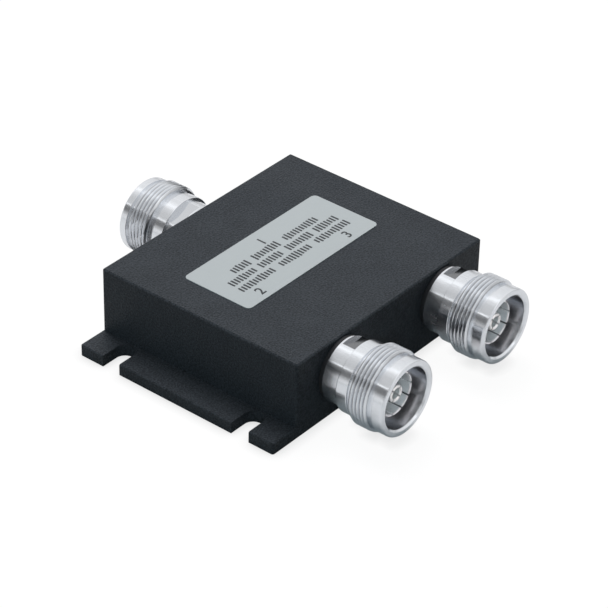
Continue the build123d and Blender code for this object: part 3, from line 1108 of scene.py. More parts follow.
@dataclass(frozen=True)
class LinedMetal(Finish):
    """Metal with fine drawn or milled lines along one axis.

    Attributes:
        roughness: Middle roughness.
        stretch: Lines per metre along X, Y and Z.
        relief: Height of the lines.
        bump: Share of the relief that shows.
        metal: Share of bare metal, less where a plating is dull and pale.
    """

    tones: tuple[float, float] = (0.92, 1.05)
    roughness: float = 0.34
    stretch: Triple = (2500.0, 14000.0, 2500.0)
    relief: float = 0.006
    bump: float = 0.4
    metal: float = 1.0

    def surface(self, g: Graph, effects: Effects) -> dict[str, object]:
        """Metal with its lines.

        Args:
            g: The material's graph.
            effects: The shared shader groups.

        Returns:
            What feeds the shader's inputs.
        """
        lines = g.effect(effects.brushing, Vector=g.place(), Stretch=self.stretch)
        return {
            "Base Color": self.toned(g, lines["Mask"]),
            "Roughness": wandering(g, lines["Mask"], self.roughness),
            "Normal": g.bump(lines["Height"], self.relief, self.bump),
            "Metallic": self.metal,
        }


@dataclass(frozen=True)
class ContactMetal(LinedMetal):
    """Dull plated contact, brighter on its front face and, where named, outside.

    Attributes:
        tip: Distance from the box's middle to the front face.
        tip_band: How far behind the tip the bright face starts and is full.
        face: Tone of the front face against the rest.
        outside: Side offset and height of the axis, and the radius past which the
            wall is polished, zeros for none.
        polish: Roughness of the polished wall.
    """

    metal: float = 0.05
    tip: float = 0.0
    tip_band: tuple[float, float] = (0.28, 0.2)
    face: float = 1.0
    outside: Triple = (0.0, 0.0, 0.0)
    polish: float = 0.16

    def surface(self, g: Graph, effects: Effects) -> dict[str, object]:
        """Lined metal with its brighter places.

        Args:
            g: The material's graph.
            effects: The shared shader groups.

        Returns:
            What feeds the shader's inputs.
        """
        looks = super().surface(g, effects)
        x, y, z = g.split(g.place())
        bright = g.span(abs(y), *((self.tip - behind) * MM for behind in self.tip_band))
        face = shade(self.colour, self.face)
        looks["Base Color"] = g.mix_colour(bright, looks["Base Color"], face)
        if self.outside[2] > 0:
            offset, level, radius = (size * MM for size in self.outside)
            across, up = abs(x) - offset, z - level
            polished = g.math("SQRT", across * across + up * up) > radius
            looks["Roughness"] = g.mix_value(polished, looks["Roughness"], self.polish)
            bright = g.math("MAXIMUM", bright, polished)
        looks["Metallic"] = g.mix_value(bright, self.metal, 1.0)
        return looks


@dataclass(frozen=True)
class GlassLaminate(Finish):
    """Cream circuit laminate with the weave of its glass cloth.

    Attributes:
        yarn: Distance after which the weave repeats.
        weave_share: Share of the weave in the tone; the grain has the rest.
        grain: Size of the grain.
        relief: Height of the weave.
        bump: Share of the relief that shows.
        roughness: Roughness in the weave's hollows and on its crests.
    """

    name: str = "glass_laminate"
    colour: Triple = (0.80, 0.77, 0.66)
    tones: tuple[float, float] = (0.88, 1.05)
    yarn: float = 0.5
    weave_share: float = 0.6
    grain: float = 0.4
    relief: float = 0.01
    bump: float = 0.5
    roughness: tuple[float, float] = (0.36, 0.48)

    def surface(self, g: Graph, effects: Effects) -> dict[str, object]:
        """Weave of warp and weft under resin.

        Args:
            g: The material's graph.
            effects: The shared shader groups.

        Returns:
            What feeds the shader's inputs.
        """
        place = g.place()
        beat = 2 * math.pi / (self.yarn * MM)
        warp, weft = (g.math("SINE", part * beat) for part in g.split(place)[:2])
        weave = warp * weft * 0.5 + 0.5
        grain = g.effect(effects.grain, Vector=place, Size=self.grain * MM)
        tone = weave * self.weave_share + grain["Mask"] * (1 - self.weave_share)
        return {
            "Base Color": self.toned(g, tone),
            "Roughness": g.mix_value(weave, *self.roughness),
            "Normal": g.bump(weave, self.relief, self.bump),
        }


# ---------------------------------------------------------------- repeated pieces


class ScatterTree(ShapeTree):
    """Geometry Nodes that put one piece at every seed point, each with its own turn."""

    def __init__(self) -> None:
        """Builds the tree."""
        named = {"Piece": Sort.OBJECT, "Turn": math.pi, "Shortest": 1.0, "Seed": 7}
        super().__init__("scattered_pieces", named)
        turn = self._random(0.0, self["Turn"], self["Seed"])
        length = self._random(self["Shortest"], 1.0, self["Seed"] + 1.0)
        spread = {
            "Points": self["Geometry"],
            "Instance": self.out("GeometryNodeObjectInfo", {"Object": self["Piece"]}, "Geometry"),
            "Rotation": self.out("FunctionNodeEulerToRotation", {0: self.join(z=turn)}),
            "Scale": self.join(1.0, length, 1.0),
        }
        self.close(self.out("GeometryNodeInstanceOnPoints", spread))

    def _random(self, low: Amount, high: Amount, seed: Value) -> Value:
        """A random number for each seed point."""
        inputs = {"Min": low, "Max": high, "Seed": seed}
        return self.out("FunctionNodeRandomValue", inputs, "Value", data_type="FLOAT")

    def repeat(
        self,
        name: str,
        spots: Sequence[Vector],
        piece: bpy.types.Object,
        material: bpy.types.Material,
        turn: float,
        shortest: float = 1.0,
    ) -> bpy.types.Object:
        """Repeats a piece.

        Args:
            name: Name of the result.
            spots: Places of the copies, in metres.
            piece: Object that is repeated, removed afterwards.
            material: Finish of all copies.
            turn: Largest random turn about Z, in radians.
            shortest: Smallest random share of the piece's length along Y.

        Returns:
            All copies as one plain mesh.
        """
        values = {"Piece": piece, "Turn": turn, "Shortest": shortest, "Material": material}
        made = self.run(name, spots, values)
        bpy.data.objects.remove(piece)
        return made


@dataclass
class Workshop:
    """What every sub-assembly is built with.

    Attributes:
        nodes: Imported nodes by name.
        turned: Tree that turns pieces.
        scattered: Tree that repeats pieces.
        effects: The shared shader groups.
        materials: Material of each finish that was used.
    """

    nodes: dict[str, bpy.types.Object]
    turned: TurnedTree = field(default_factory=TurnedTree)
    scattered: ScatterTree = field(default_factory=ScatterTree)
    effects: Effects = field(default_factory=Effects)
    materials: dict[Finish, bpy.types.Material] = field(default_factory=dict)

    def material(self, finish: Finish) -> bpy.types.Material:
        """Material of a finish, made on its first use.

        Args:
            finish: The finish.

        Returns:
            Its one material.
        """
        if finish not in self.materials:
            self.materials[finish] = finish.build(self.effects)
        return self.materials[finish]

    def dress(self, node: str, finish: Finish) -> None:
        """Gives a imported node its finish."""
        dress(self.nodes[node], self.material(finish))


# ---------------------------------------------------------------- jacks


class Port(Enum):
    """The three ports, by the name that starts their nodes."""

    INPUT = "input"
    OUTPUT_LEFT = "output_left"
    OUTPUT_RIGHT = "output_right"


@dataclass(frozen=True)
class JackPlaces:
    """Places along a jack's axis, measured outwards from the wall, and its flats' turn."""

    collar_start: float = 1.1
    thread_end: float = 15.0
    rim_start: float = 16.15
    rim_end: float = 19.1
    flat_deg: float = 76.25


@dataclass(frozen=True)
class Jack:
    """One coaxial jack: turned shell, slotted contacts, insulator and, at an output, a seal.

    Lengths follow one another outwards along the port's axis.
    """

    port: Port
    wall: float = 29.25
    axis_height: float = 11.7
    output_offset: float = 18.55
    rear: float = 6.0
    rear_thread: Thread = Thread(-5.6, -0.2, 7.0, 1.0)
    rear_bore: float = 2.3
    seal_radius: float = 7.8
    seal_bore: float = 7.08
    seal_round: float = 0.28
    seal_sides: int = 96
    flange_length: float = 0.7
    flat_gap: float = 0.002
    collar_length: float = 4.54
    collar_radius: float = 8.15
    collar_chamfer: float = 0.2
    flats_across: float = 14.65
    ring_length: float = 3.1
    ring_radius: float = 8.9
    ring_chamfer: float = 0.15
    undercut_length: float = 1.06
    undercut_radius: float = 8.35
    thread_radius: float = 10.0
    thread_pitch: float = 1.0
    thread_chamfer: float = 0.5
    groove_radius: float = 8.7
    rim_radius: float = 9.4
    rim_chamfer: float = 0.12
    rim_round: float = 0.5
    edge_round: float = 0.06
    sides: int = 180
    mouth_radius: float = 7.6
    mouth_chamfer: float = 0.45
    mouth_floor: float = 8.9
    # how far past the mouth's radius the bore's painted shade reaches
    bore_shade_reach: float = 0.03
    contact_root: float = 6.3
    contact_seat: float = 3.9
    contact_recess: float = 3.0
    contact_wall: float = 5.3
    bead_radius: float = 5.8
    bead_start: float = 0.4
    plating: TurnedPlating = TurnedPlating()
    # painted light: a lighter copy of the plating for the input, with lighter flats and roots, for
    # how it is lit
    painted_lit_plating: TurnedPlating = TurnedPlating(
        "bright_plating_lit", (0.87, 0.89, 0.92), flat_painted_reflection=0.62, root_shade=0.64
    )
    rubber: PlainFinish = PlainFinish(
        "black_rubber",
        (0.022, 0.022, 0.024),
        (0.85, 1.15),
        roughness=0.62,
        grain=0.25,
        relief=0.01,
        gloss=0.4,
    )
    insulator: PlainFinish = PlainFinish(
        "white_fluoroplastic",
        (0.82, 0.82, 0.80),
        (0.97, 1.03),
        roughness=0.4,
        grain=0.25,
        relief=0.004,
        gloss=0.35,
    )

    @property
    def places(self) -> JackPlaces:
        """Places of this port's features; the input sits deeper and is shorter."""
        deeper = JackPlaces(0.0, 14.2, 15.4, 17.5, 71.25)
        return deeper if self.port is Port.INPUT else JackPlaces()

    @property
    def flange_end(self) -> float:
        """Place where the collar's flats begin."""
        return self.places.collar_start + self.flange_length

    @property
    def ring_start(self) -> float:
        """Place where the collar ends at the smooth ring."""
        return self.places.collar_start + self.collar_length

    @property
    def thread_start(self) -> float:
        """Place where the undercut ends at the thread."""
        return self.ring_start + self.ring_length + self.undercut_length

    def frame(self) -> Matrix:
        """Place of the port.

        Returns:
            Origin on the wall, local Z pointing outwards, in metres.
        """
        sides = {Port.INPUT: 0.0, Port.OUTPUT_LEFT: -1.0, Port.OUTPUT_RIGHT: 1.0}
        outward = 1.0 if self.port is Port.INPUT else -1.0
        x_axis, z_axis = Vector((-outward, 0, 0)), Vector((0, outward, 0))
        turn = Matrix((x_axis, z_axis.cross(x_axis), z_axis)).transposed().to_4x4()
        side = sides[self.port] * self.output_offset
        origin = Vector((side, outward * self.wall, self.axis_height)) * MM
        return Matrix.Translation(origin) @ turn

    def shell_corners(self) -> list[Corner]:
        """Profile of the shell, from its rear bore out to the rim and back through the mouth.

        Returns:
            Radius and height pairs of a closed profile.
        """
        places, gap = self.places, self.flat_gap
        start, ring = places.collar_start, self.ring_start
        ring_end = ring + self.ring_length
        rear_radius, thread_edge = self.rear_thread.radius, self.thread_radius - self.thread_chamfer
        return [
            (self.rear_bore, -self.rear),
            (rear_radius - self.thread_chamfer, -self.rear),
            (rear_radius, self.thread_chamfer - self.rear),
            (rear_radius, start),
            (self.collar_radius - self.collar_chamfer, start),
            (self.collar_radius, start + self.collar_chamfer),
            (self.collar_radius, self.flange_end),
            (self.collar_radius, self.flange_end + 2 * gap),
            (self.collar_radius, ring - 2 * gap),
            (self.collar_radius, ring - gap / 2),
            (self.ring_radius - self.ring_chamfer, ring),
            (self.ring_radius, ring + self.ring_chamfer),
            (self.ring_radius, ring_end - self.ring_chamfer),
            (self.ring_radius - self.ring_chamfer, ring_end),
            (self.undercut_radius, ring_end),
            (self.undercut_radius, self.thread_start),
            (thread_edge, self.thread_start),
            (self.thread_radius, self.thread_start + self.thread_chamfer),
            (self.thread_radius, places.thread_end - self.thread_chamfer),
            (thread_edge, places.thread_end),
            (self.groove_radius, places.thread_end),
            (self.groove_radius, places.rim_start),
            (self.rim_radius - self.rim_chamfer, places.rim_start),
            (self.rim_radius, places.rim_start + self.rim_chamfer),
            *self.rim_corners(),
            (self.mouth_radius + self.mouth_chamfer, places.rim_end),
            (self.mouth_radius, places.rim_end - self.mouth_chamfer),
            (self.mouth_radius, start + self.mouth_floor),
            (self.contact_root, start + self.mouth_floor),
            (self.contact_root, start + self.contact_seat),
            (self.bead_radius, start + self.contact_seat),
            (self.bead_radius, start + self.bead_start),
            (self.rear_bore, start + self.bead_start),
        ]

    def rim_corners(self) -> list[Corner]:
        """Round of the rim's front edge.

        Returns:
            Radius and height pairs.
        """
        size = self.rim_round
        radius, height = self.rim_radius - size, self.places.rim_end - size
        turns = [math.radians(angle) for angle in (0, 22.5, 45, 67.5, 90)]
        return [(radius + size * math.cos(a), height + size * math.sin(a)) for a in turns]

    def shell(self) -> TurnedPiece:
        """The shell with its wrench flats and both threads.

        Returns:
            The piece, not yet built.
        """
        places, gap = self.places, self.flat_gap
        flange, ring = self.flange_end, self.ring_start
        front = Thread(self.thread_start, places.thread_end, self.thread_radius, self.thread_pitch)
        return TurnedPiece(
            f"{self.port.value}_jack_shell",
            self.shell_corners(),
            self.edge_round,
            self.sides,
            flats=Flats(self.flats_across, flange + gap, ring - gap, places.flat_deg),
            threads=(front, self.rear_thread),
            sharp=(flange, flange + 2 * gap, ring - 2 * gap, ring - gap / 2),
            # painted shade on the wall of the mouth's bore
            bore=(self.mouth_radius + self.bore_shade_reach, places.collar_start + self.contact_seat),
        )

    def seal(self) -> TurnedPiece:
        """Rubber ring with a rounded section, in the gap behind the collar.

        Returns:
            The piece, not yet built.
        """
        inner, outer, length = self.seal_bore, self.seal_radius, self.places.collar_start
        corners = [(inner, 0.0), (outer, 0.0), (outer, length), (inner, length)]
        name = f"{self.port.value}_seal_ring"
        return TurnedPiece(name, corners, self.seal_round, self.seal_sides)

    def contact_finishes(self) -> dict[str, ContactMetal]:
        """Finishes of both contacts, which know where the port's axis and tips are.

        Returns:
            End of the node's name to its finish.
        """
        tip = round(self.wall + self.places.rim_end - self.contact_recess, 3)
        offset = 0.0 if self.port is Port.INPUT else self.output_offset
        outer = ContactMetal(
            "satin_contact",
            (0.95, 0.92, 0.925),
            roughness=0.42,
            stretch=(9000.0, 500.0, 9000.0),
            tip=tip,
            outside=(offset, self.axis_height, self.contact_wall),
        )
        centre = ContactMetal(
            "silvered_contact",
            (0.84, 0.82, 0.81),
            roughness=0.36,
            stretch=(7000.0, 600.0, 7000.0),
            tip=tip,
            face=1.18,
        )
        return {"outer_contact": outer, "centre_contact": centre}

    def build(self, shop: Workshop) -> None:
        """Turns the shell and the seal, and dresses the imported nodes.

        Args:
            shop: Nodes, trees and materials.
        """
        name = self.port.value
        # the input gets the lighter, painted-lit copy of the plating
        plating = self.painted_lit_plating if self.port is Port.INPUT else self.plating
        turned = [(self.shell(), plating, "jack_plating", f"{name}_shell")]
        if self.places.collar_start > 0:
            turned.append((self.seal(), self.rubber, "seal_rubber", f"{name}_seal"))
        for piece, finish, slot, node in turned:
            made = piece.build(shop.turned, shop.material(finish))
            made.data.transform(self.frame())
            seat(made, [node])
        for end, finish in (self.contact_finishes() | {"insulator": self.insulator}).items():
            shop.dress(f"{name}_{end}", finish)


# ---------------------------------------------------------------- screws


@dataclass(frozen=True)
class Screw:
    """A cross-recess machine screw with its head down, head seat or face at zero.

    Attributes:
        name: Name of the piece.
        head_radius: Radius of the head.
        head_height: Height of a pan head below the seat, 0 for a countersunk head.
        radius: Thread radius.
        length: Length above the seat, or above the face of a countersunk head.
        pitch: Thread pitch.
        recess: Radius, half width and depth of the cross recess.
        taper: Size of the recess at its mouth and at its bottom.
        crown: Share of the radius and height above the crown at a pan head's points.
        land: Drop and height of the edge of a countersunk head.
        point: Chamfer at the screw's end.
        run_out: Plain length between the head and the thread.
        edge_round: Size of the rounds that break its edges.
        sides: Number of sides round the axis.
        sharp_deg: Edges that bend more than this stay sharp.
    """

    name: str
    head_radius: float
    head_height: float
    radius: float
    length: float
    pitch: float
    recess: Triple = (1.25, 0.27, 0.8)
    taper: tuple[float, float] = (1.12, 0.62)
    crown: tuple[Corner, ...] = ((0.55, 0.03), (0.86, 0.22), (1.0, 0.62))
    land: tuple[float, float] = (0.02, 0.12)
    point: float = 0.35
    run_out: float = 0.3
    edge_round: float = 0.05
    sides: int = 40
    sharp_deg: float = 38.0

    @property
    def cone(self) -> float:
        """Height of a countersunk head's cone, 0 for a pan head."""
        return 0.0 if self.head_height > 0 else self.head_radius - self.radius

    def corners(self) -> list[Corner]:
        """Profile of the screw.

        Returns:
            Radius and height pairs.
        """
        if self.head_height > 0:
            head = [(0.0, -self.head_height)]
            head += [(self.head_radius * r, rise - self.head_height) for r, rise in self.crown]
            head += [(self.head_radius, 0.0), (self.radius, 0.0)]
        else:
            drop, land = self.land
            head = [(0.0, 0.0), (self.head_radius - drop, 0.0), (self.head_radius, land)]
            head += [(self.radius, self.cone)]
        neck = (self.radius, self.length - self.point)
        return [*head, neck, (self.radius - self.point, self.length), (0.0, self.length)]

    def recess_cutter(self) -> bpy.types.Object:
        """Cross-shaped plug that narrows as it goes up into the head.

        Returns:
            Two crossed blocks that start below the head.
        """
        below = 0.0004
        reach, half, depth = (size * MM for size in self.recess)
        base = -self.head_height * MM
        work = bmesh.new()
        for along, across in ((0, 1), (1, 0)):
            points = []
            for level, scale in zip((base - below, base + depth), self.taper):
                for a, b in ((-1, -1), (1, -1), (1, 1), (-1, 1)):
                    place = [0.0, 0.0, level]
                    place[along] = a * reach * scale
                    place[across] = b * half * scale
                    points.append(work.verts.new(place))
            low, high = points[:4], points[4:]
            work.faces.new(low)
            work.faces.new(high)
            for index in range(4):
                after = (index + 1) % 4
                work.faces.new((low[index], low[after], high[after], high[index]))
        bmesh.ops.recalc_face_normals(work, faces=work.faces)
        return mesh_object(f"{self.name}_recess", work)

    def build(self, tree: TurnedTree, material: bpy.types.Material) -> bpy.types.Object:
        """One screw along Z, threaded and with its recess cut.

        Args:
            tree: The shared turning tree.
            material: Its finish.

        Returns:
            The screw as a plain mesh.
        """
        thread = Thread(self.cone + self.run_out, self.length, self.radius, self.pitch)
        corners = self.corners()
        piece = TurnedPiece(self.name, corners, self.edge_round, self.sides, threads=(thread,))
        made = piece.build(tree, material)
        cutter = self.recess_cutter()
        cut = {"operation": "DIFFERENCE", "solver": "EXACT", "use_self": True, "object": cutter}
        add_modifier(made, "BOOLEAN", **cut)
        freeze(made)
        bpy.data.objects.remove(cutter)
        made.data.set_sharp_from_angle(angle=math.radians(self.sharp_deg))
        return made


@dataclass(frozen=True)
class ScrewSet:
    """Like screws, set out on a plan and each turned by chance.

    Attributes:
        screw: The screw.
        seat_height: Height of the seats.
        steel: Finish of the screws.
    """

    screw: Screw
    seat_height: float
    steel: TurnedPlating = TurnedPlating(
        "zinc_plated_steel", (0.62, 0.63, 0.65), roughness=0.26, feed=0.06, spread=0.2
    )

    def plan(self) -> list[Corner]:
        """X and Y of every screw, given by each set."""
        raise NotImplementedError

    def build(self, shop: Workshop) -> None:
        """Makes all screws of the set as one piece.

        Args:
            shop: Nodes, trees and materials.
        """
        finish = shop.material(self.steel)
        one = self.screw.build(shop.turned, finish)
        spots = [Vector((x, y, self.seat_height)) * MM for x, y in self.plan()]
        name = self.screw.name
        made = shop.scattered.repeat(f"{name}_set", spots, one, finish, math.pi / 2)
        seat(made, [f"{name}s"])


@dataclass(frozen=True)
class CoverScrews(ScrewSet):
    """Ten countersunk screws in the bottom cover."""

    screw: Screw = Screw("cover_screw", 2.35, 0.0, 1.25, 6.0, 0.45)
    seat_height: float = 0.3
    end_x: float = 28.4
    port_x: float = 9.275
    row_y: float = 23.65

    def plan(self) -> list[Corner]:
        """Two screws at the ends and four pairs in the two long rows.

        Returns:
            X and Y of every screw.
        """
        signs, columns = (-1, 1), (self.end_x, self.port_x)
        ends = [(side * self.end_x, 0.0) for side in signs]
        return ends + [(sx * x, sy * self.row_y) for x in columns for sx in signs for sy in signs]


@dataclass(frozen=True)
class BoardScrews(ScrewSet):
    """Five pan-head screws that hold the board under the ceiling."""

    screw: Screw = Screw("board_screw", 1.9, 1.3, 1.0, 5.0, 0.4, (1.0, 0.24, 0.75))
    seat_height: float = 12.6
    side_x: float = 22.0
    back_y: float = 14.0
    rows: float = 18.0
    front_y: float = -19.0

    def plan(self) -> list[Corner]:
        """One screw in front and two rows of two behind it."""
        rows = (self.back_y, self.back_y - self.rows)
        return [(0.0, self.front_y)] + [(side * self.side_x, y) for y in rows for side in (-1, 1)]


# ---------------------------------------------------------------- housing and label


@dataclass(frozen=True)
class Housing:
    """The milled housing with softly rounded coated edges, its cover and gasket.

    Attributes:
        edge: Width of the bevel on every sharp edge.
        segments: Steps of that bevel.
        sharp_deg: Edges that bend more than this stay sharp.
        bevel_deg: Edges that bend more than this get the bevel.
        level_deg: Faces that differ by less than this are joined.
        coat: Finish of the housing.
        cover_coat: Finish of the cover.
        silicone: Finish of the gasket.
    """

    edge: float = 0.2
    segments: int = 3
    sharp_deg: float = 30.0
    bevel_deg: float = 40.0
    level_deg: float = 0.5
    coat: PowderCoat = PowderCoat(pocket=(31.6, 26.8, 14.2))
    cover_coat: PowderCoat = PowderCoat("black_cover_coat")
    silicone: PlainFinish = PlainFinish(
        "grey_silicone",
        (0.10, 0.10, 0.105),
        (0.9, 1.1),
        roughness=0.6,
        grain=0.35,
        relief=0.012,
        gloss=0.4,
    )

    def soft_copy(self, node: bpy.types.Object, name: str) -> bpy.types.Object:
        """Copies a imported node, with merged points and a small bevel on every sharp edge.

        Args:
            node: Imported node.
            name: Name of the copy.

        Returns:
            The copy as a plain mesh.
        """
        made = mesh_object(name, node.data.copy())
        tidy_mesh(made.data, self.sharp_deg, merge=TINY)
        level = math.radians(self.level_deg)
        add_modifier(made, "DECIMATE", decimate_type="DISSOLVE", angle_limit=level)
        add_modifier(
            made,
            "BEVEL",
            width=self.edge * MM,
            segments=self.segments,
            limit_method="ANGLE",
            angle_limit=math.radians(self.bevel_deg),
            use_clamp_overlap=True,
        )
        add_modifier(made, "WEIGHTED_NORMAL", keep_sharp=True)
        return freeze(made)

    def build(self, shop: Workshop) -> None:
        """Makes the housing's visible piece, and dresses cover and gasket.

        Args:
            shop: Nodes, trees and materials.
        """
        housing = self.soft_copy(shop.nodes["housing"], "milled_housing")
        seat(dress(housing, shop.material(self.coat)), ["housing"])
        shop.dress("bottom_cover", self.cover_coat)
        shop.dress("cover_gasket", self.silicone)


@dataclass(frozen=True)
class LabelPrint:
    """Plain print on the label: a numeral at each port and rows of small strokes.

    Attributes:
        top: Height of the label's face.
        thickness: Thickness of the print.
        numeral_height: Height of the numerals.
        numeral_swell: What their outline grows by.
        numerals: Numeral, and its centre on the label.
        rows: Centre height of each row, and the start and end of its groups.
        pitch: Distance between strokes.
        stroke: Width and full height of one stroke.
        shortest: Share of the full height that the shortest stroke has.
        film: Finish of the label.
        ink: Finish of the print.
    """

    top: float = 20.35
    thickness: float = 0.02
    numeral_height: float = 2.7
    numeral_swell: float = 0.05
    numerals: tuple[tuple[str, float, float], ...] = (
        ("1", -1.2, 8.6),
        ("2", -17.2, -4.5),
        ("3", 14.4, -4.5),
    )
    rows: tuple[tuple[float, tuple[Corner, ...]], ...] = (
        (5.5, ((-15.6, -9.8), (-8.0, 1.2), (3.0, 15.0))),
        (2.3, ((-20.0, -11.2), (-9.6, -1.6), (0.2, 9.0), (10.6, 18.8))),
        (-0.9, ((-20.2, -7.8), (-6.0, 5.4), (7.0, 18.6))),
    )
    pitch: float = 1.0
    stroke: tuple[float, float] = (0.54, 2.6)
    shortest: float = 0.68
    film: PlainFinish = PlainFinish(
        "silver_label_film",
        (0.358, 0.386, 0.393),
        (0.965, 1.035),
        roughness=0.42,
        grain=0.12,
        relief=0.004,
        gloss=0.4,
    )
    ink: PlainFinish = PlainFinish(
        "grey_ink",
        (0.040, 0.042, 0.045),
        (0.9, 1.1),
        roughness=0.6,
        grain=0.15,
        relief=0.002,
        gloss=0.3,
    )

    def numeral_mesh(self, text: str, x: float, y: float) -> bpy.types.Mesh:
        """One numeral as a thin solid, in place on the label.

        Args:
            text: The numeral.
            x: Its centre along X.
            y: Its centre along Y.

        Returns:
            Its mesh in metres.
        """
        height_of_em = 0.70
        curve = bpy.data.curves.new(f"numeral_{text}", "FONT")
        curve.body = text
        curve.align_x = curve.align_y = "CENTER"
        curve.size = self.numeral_height * MM / height_of_em
        curve.extrude = self.thickness * MM / 2
        curve.offset = self.numeral_swell * MM
        curve.resolution_u = 6
        made = add_object(curve.name, curve)
        mesh = evaluated_mesh(made)
        bpy.data.objects.remove(made)
        mesh.transform(Matrix.Translation(Vector((x, y, self.top + self.thickness / 2)) * MM))
        return mesh

    def numerals_piece(self) -> bpy.types.Object:
        """The three numerals joined into one piece.

        Returns:
            The piece, without a finish.
        """
        work = bmesh.new()
        for text, x, y in self.numerals:
            work.from_mesh(self.numeral_mesh(text, x, y))
        return mesh_object("label_numerals", work)

    def stroke_piece(self) -> bpy.types.Object:
        """One upright stroke with cut corners.

        Returns:
            The stroke, centred on the origin.
        """
        width, height = (size * MM / 2 for size in self.stroke)
        cut = width / 2
        outline: list[Corner] = []
        for sx, sy in ((-1, -1), (1, -1), (1, 1), (-1, 1)):
            pair = [(sx * width, sy * (height - cut)), (sx * (width - cut), sy * height)]
            outline += pair if sx == sy else pair[::-1]
        work = bmesh.new()
        low = [work.verts.new((x, y, 0.0)) for x, y in outline]
        high = [work.verts.new((x, y, self.thickness * MM)) for x, y in outline]
        work.faces.new(low)
        work.faces.new(high)
        for index in range(len(outline)):
            after = (index + 1) % len(outline)
            work.faces.new((low[index], low[after], high[after], high[index]))
        bmesh.ops.recalc_face_normals(work, faces=work.faces)
        return mesh_object("print_stroke", work)

    def spots(self) -> list[Vector]:
        """Places of all strokes, from the groups of each row.

        Returns:
            Points on the label's face, in metres.
        """
        out = []
        for y, groups in self.rows:
            for start, end in groups:
                steps = range(round((end - start) / self.pitch))
                places = (start + self.pitch * (step + 0.5) for step in steps)
                out += [Vector((x, y, self.top)) * MM for x in places]
        return out

    def build(self, shop: Workshop) -> None:
        """Dresses the label and prints it.

        Args:
            shop: Nodes, trees and materials.
        """
        shop.dress("label", self.film)
        ink = shop.material(self.ink)
        seat(dress(self.numerals_piece(), ink))
        spots, stroke = self.spots(), self.stroke_piece()
        made = shop.scattered.repeat("label_strokes", spots, stroke, ink, 0.0, self.shortest)
        seat(made)


@dataclass(frozen=True)
class Circuit:
    """The board and what sits on it.

    Attributes:
        laminate: Finish of the board.
        copper: Finish of its conductors.
        ceramic: Finish of the resistors.
        tin: Finish of their ends.
        solder: Finish of the joints.
    """

    laminate: GlassLaminate = GlassLaminate()
    copper: LinedMetal = LinedMetal("rolled_copper", (0.86, 0.50, 0.36))
    ceramic: PlainFinish = PlainFinish(
        "glazed_ceramic",
        (0.05, 0.052, 0.058),
        (0.9, 1.1),
        roughness=0.3,
        grain=0.15,
        relief=0.003,
        clear=0.3,
    )
    tin: PlainFinish = PlainFinish(
        "tinned_end",
        (0.76, 0.76, 0.75),
        (0.95, 1.05),
        roughness=0.38,
        grain=0.18,
        relief=0.006,
        metal=1.0,
    )
    solder: PlainFinish = PlainFinish(
        "bright_solder",
        (0.74, 0.75, 0.77),
        (0.94, 1.06),
        roughness=0.24,
        grain=0.5,
        relief=0.012,
        metal=1.0,
    )

    def build(self, shop: Workshop) -> None:
        """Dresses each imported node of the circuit.

        Args:
            shop: Nodes, trees and materials.
        """
        shop.dress("circuit_board", self.laminate)
        shop.dress("circuit_copper", self.copper)
        shop.dress("isolation_resistors", self.ceramic)
        shop.dress("resistor_ends", self.tin)
        shop.dress("solder_joints", self.solder)


# ---------------------------------------------------------------- studio


@dataclass(frozen=True)
class PhotoCamera:
    """Viewing angle and framing of the photograph."""

    azimuth_deg: float = -51.003
    elevation_deg: float = 34.856
    roll_deg: float = 1.208
    distance: float = 0.66146
    focal_px: float = 2789.2
    centre_px: tuple[float, float] = (-11.96, -20.49)
    sensor: float = 36.0

    def build(self) -> None:
        """Creates the camera and makes it the scene's."""
        azimuth, elevation = math.radians(self.azimuth_deg), math.radians(self.elevation_deg)
        level = math.cos(elevation)
        back = Vector((math.sin(azimuth) * level, -math.cos(azimuth) * level, math.sin(elevation)))
        right = Vector((0, 0, 1)).cross(back).normalized()
        roll = Matrix.Rotation(math.radians(self.roll_deg), 3, "Z")
        turn = Matrix((right, back.cross(right), back)).transposed() @ roll
        data = bpy.data.cameras.new("photo_camera")
        data.sensor_width = self.sensor
        data.lens = self.focal_px / IMAGE_SIDE * self.sensor
        data.shift_x, data.shift_y = (-offset / IMAGE_SIDE for offset in self.centre_px)
        data.clip_start = 0.01
        made = add_object("photo_camera", data)
        made.matrix_world = Matrix.Translation(back * self.distance) @ turn.to_4x4()
        bpy.context.scene.camera = made


@dataclass(frozen=True)
class SoftBox:
    """A rectangular lamp, not mirrored in metal, that looks at a point near the object."""

    name: str
    place: Triple
    size: tuple[float, float]
    power: float
    tint: Triple
    aim: Triple = (0.0, 0.0, 0.01)

    def build(self) -> None:
        """Creates the lamp."""
        data = bpy.data.lights.new(self.name, "AREA")
        data.shape = "RECTANGLE"
        data.size, data.size_y = self.size
        data.energy = self.power
        data.color = self.tint
        made = add_object(self.name, data)
        made.location = self.place
        toward = Vector(self.aim) - Vector(self.place)
        made.rotation_euler = toward.to_track_quat("-Z", "Y").to_euler()
        made.visible_glossy = made.visible_camera = False


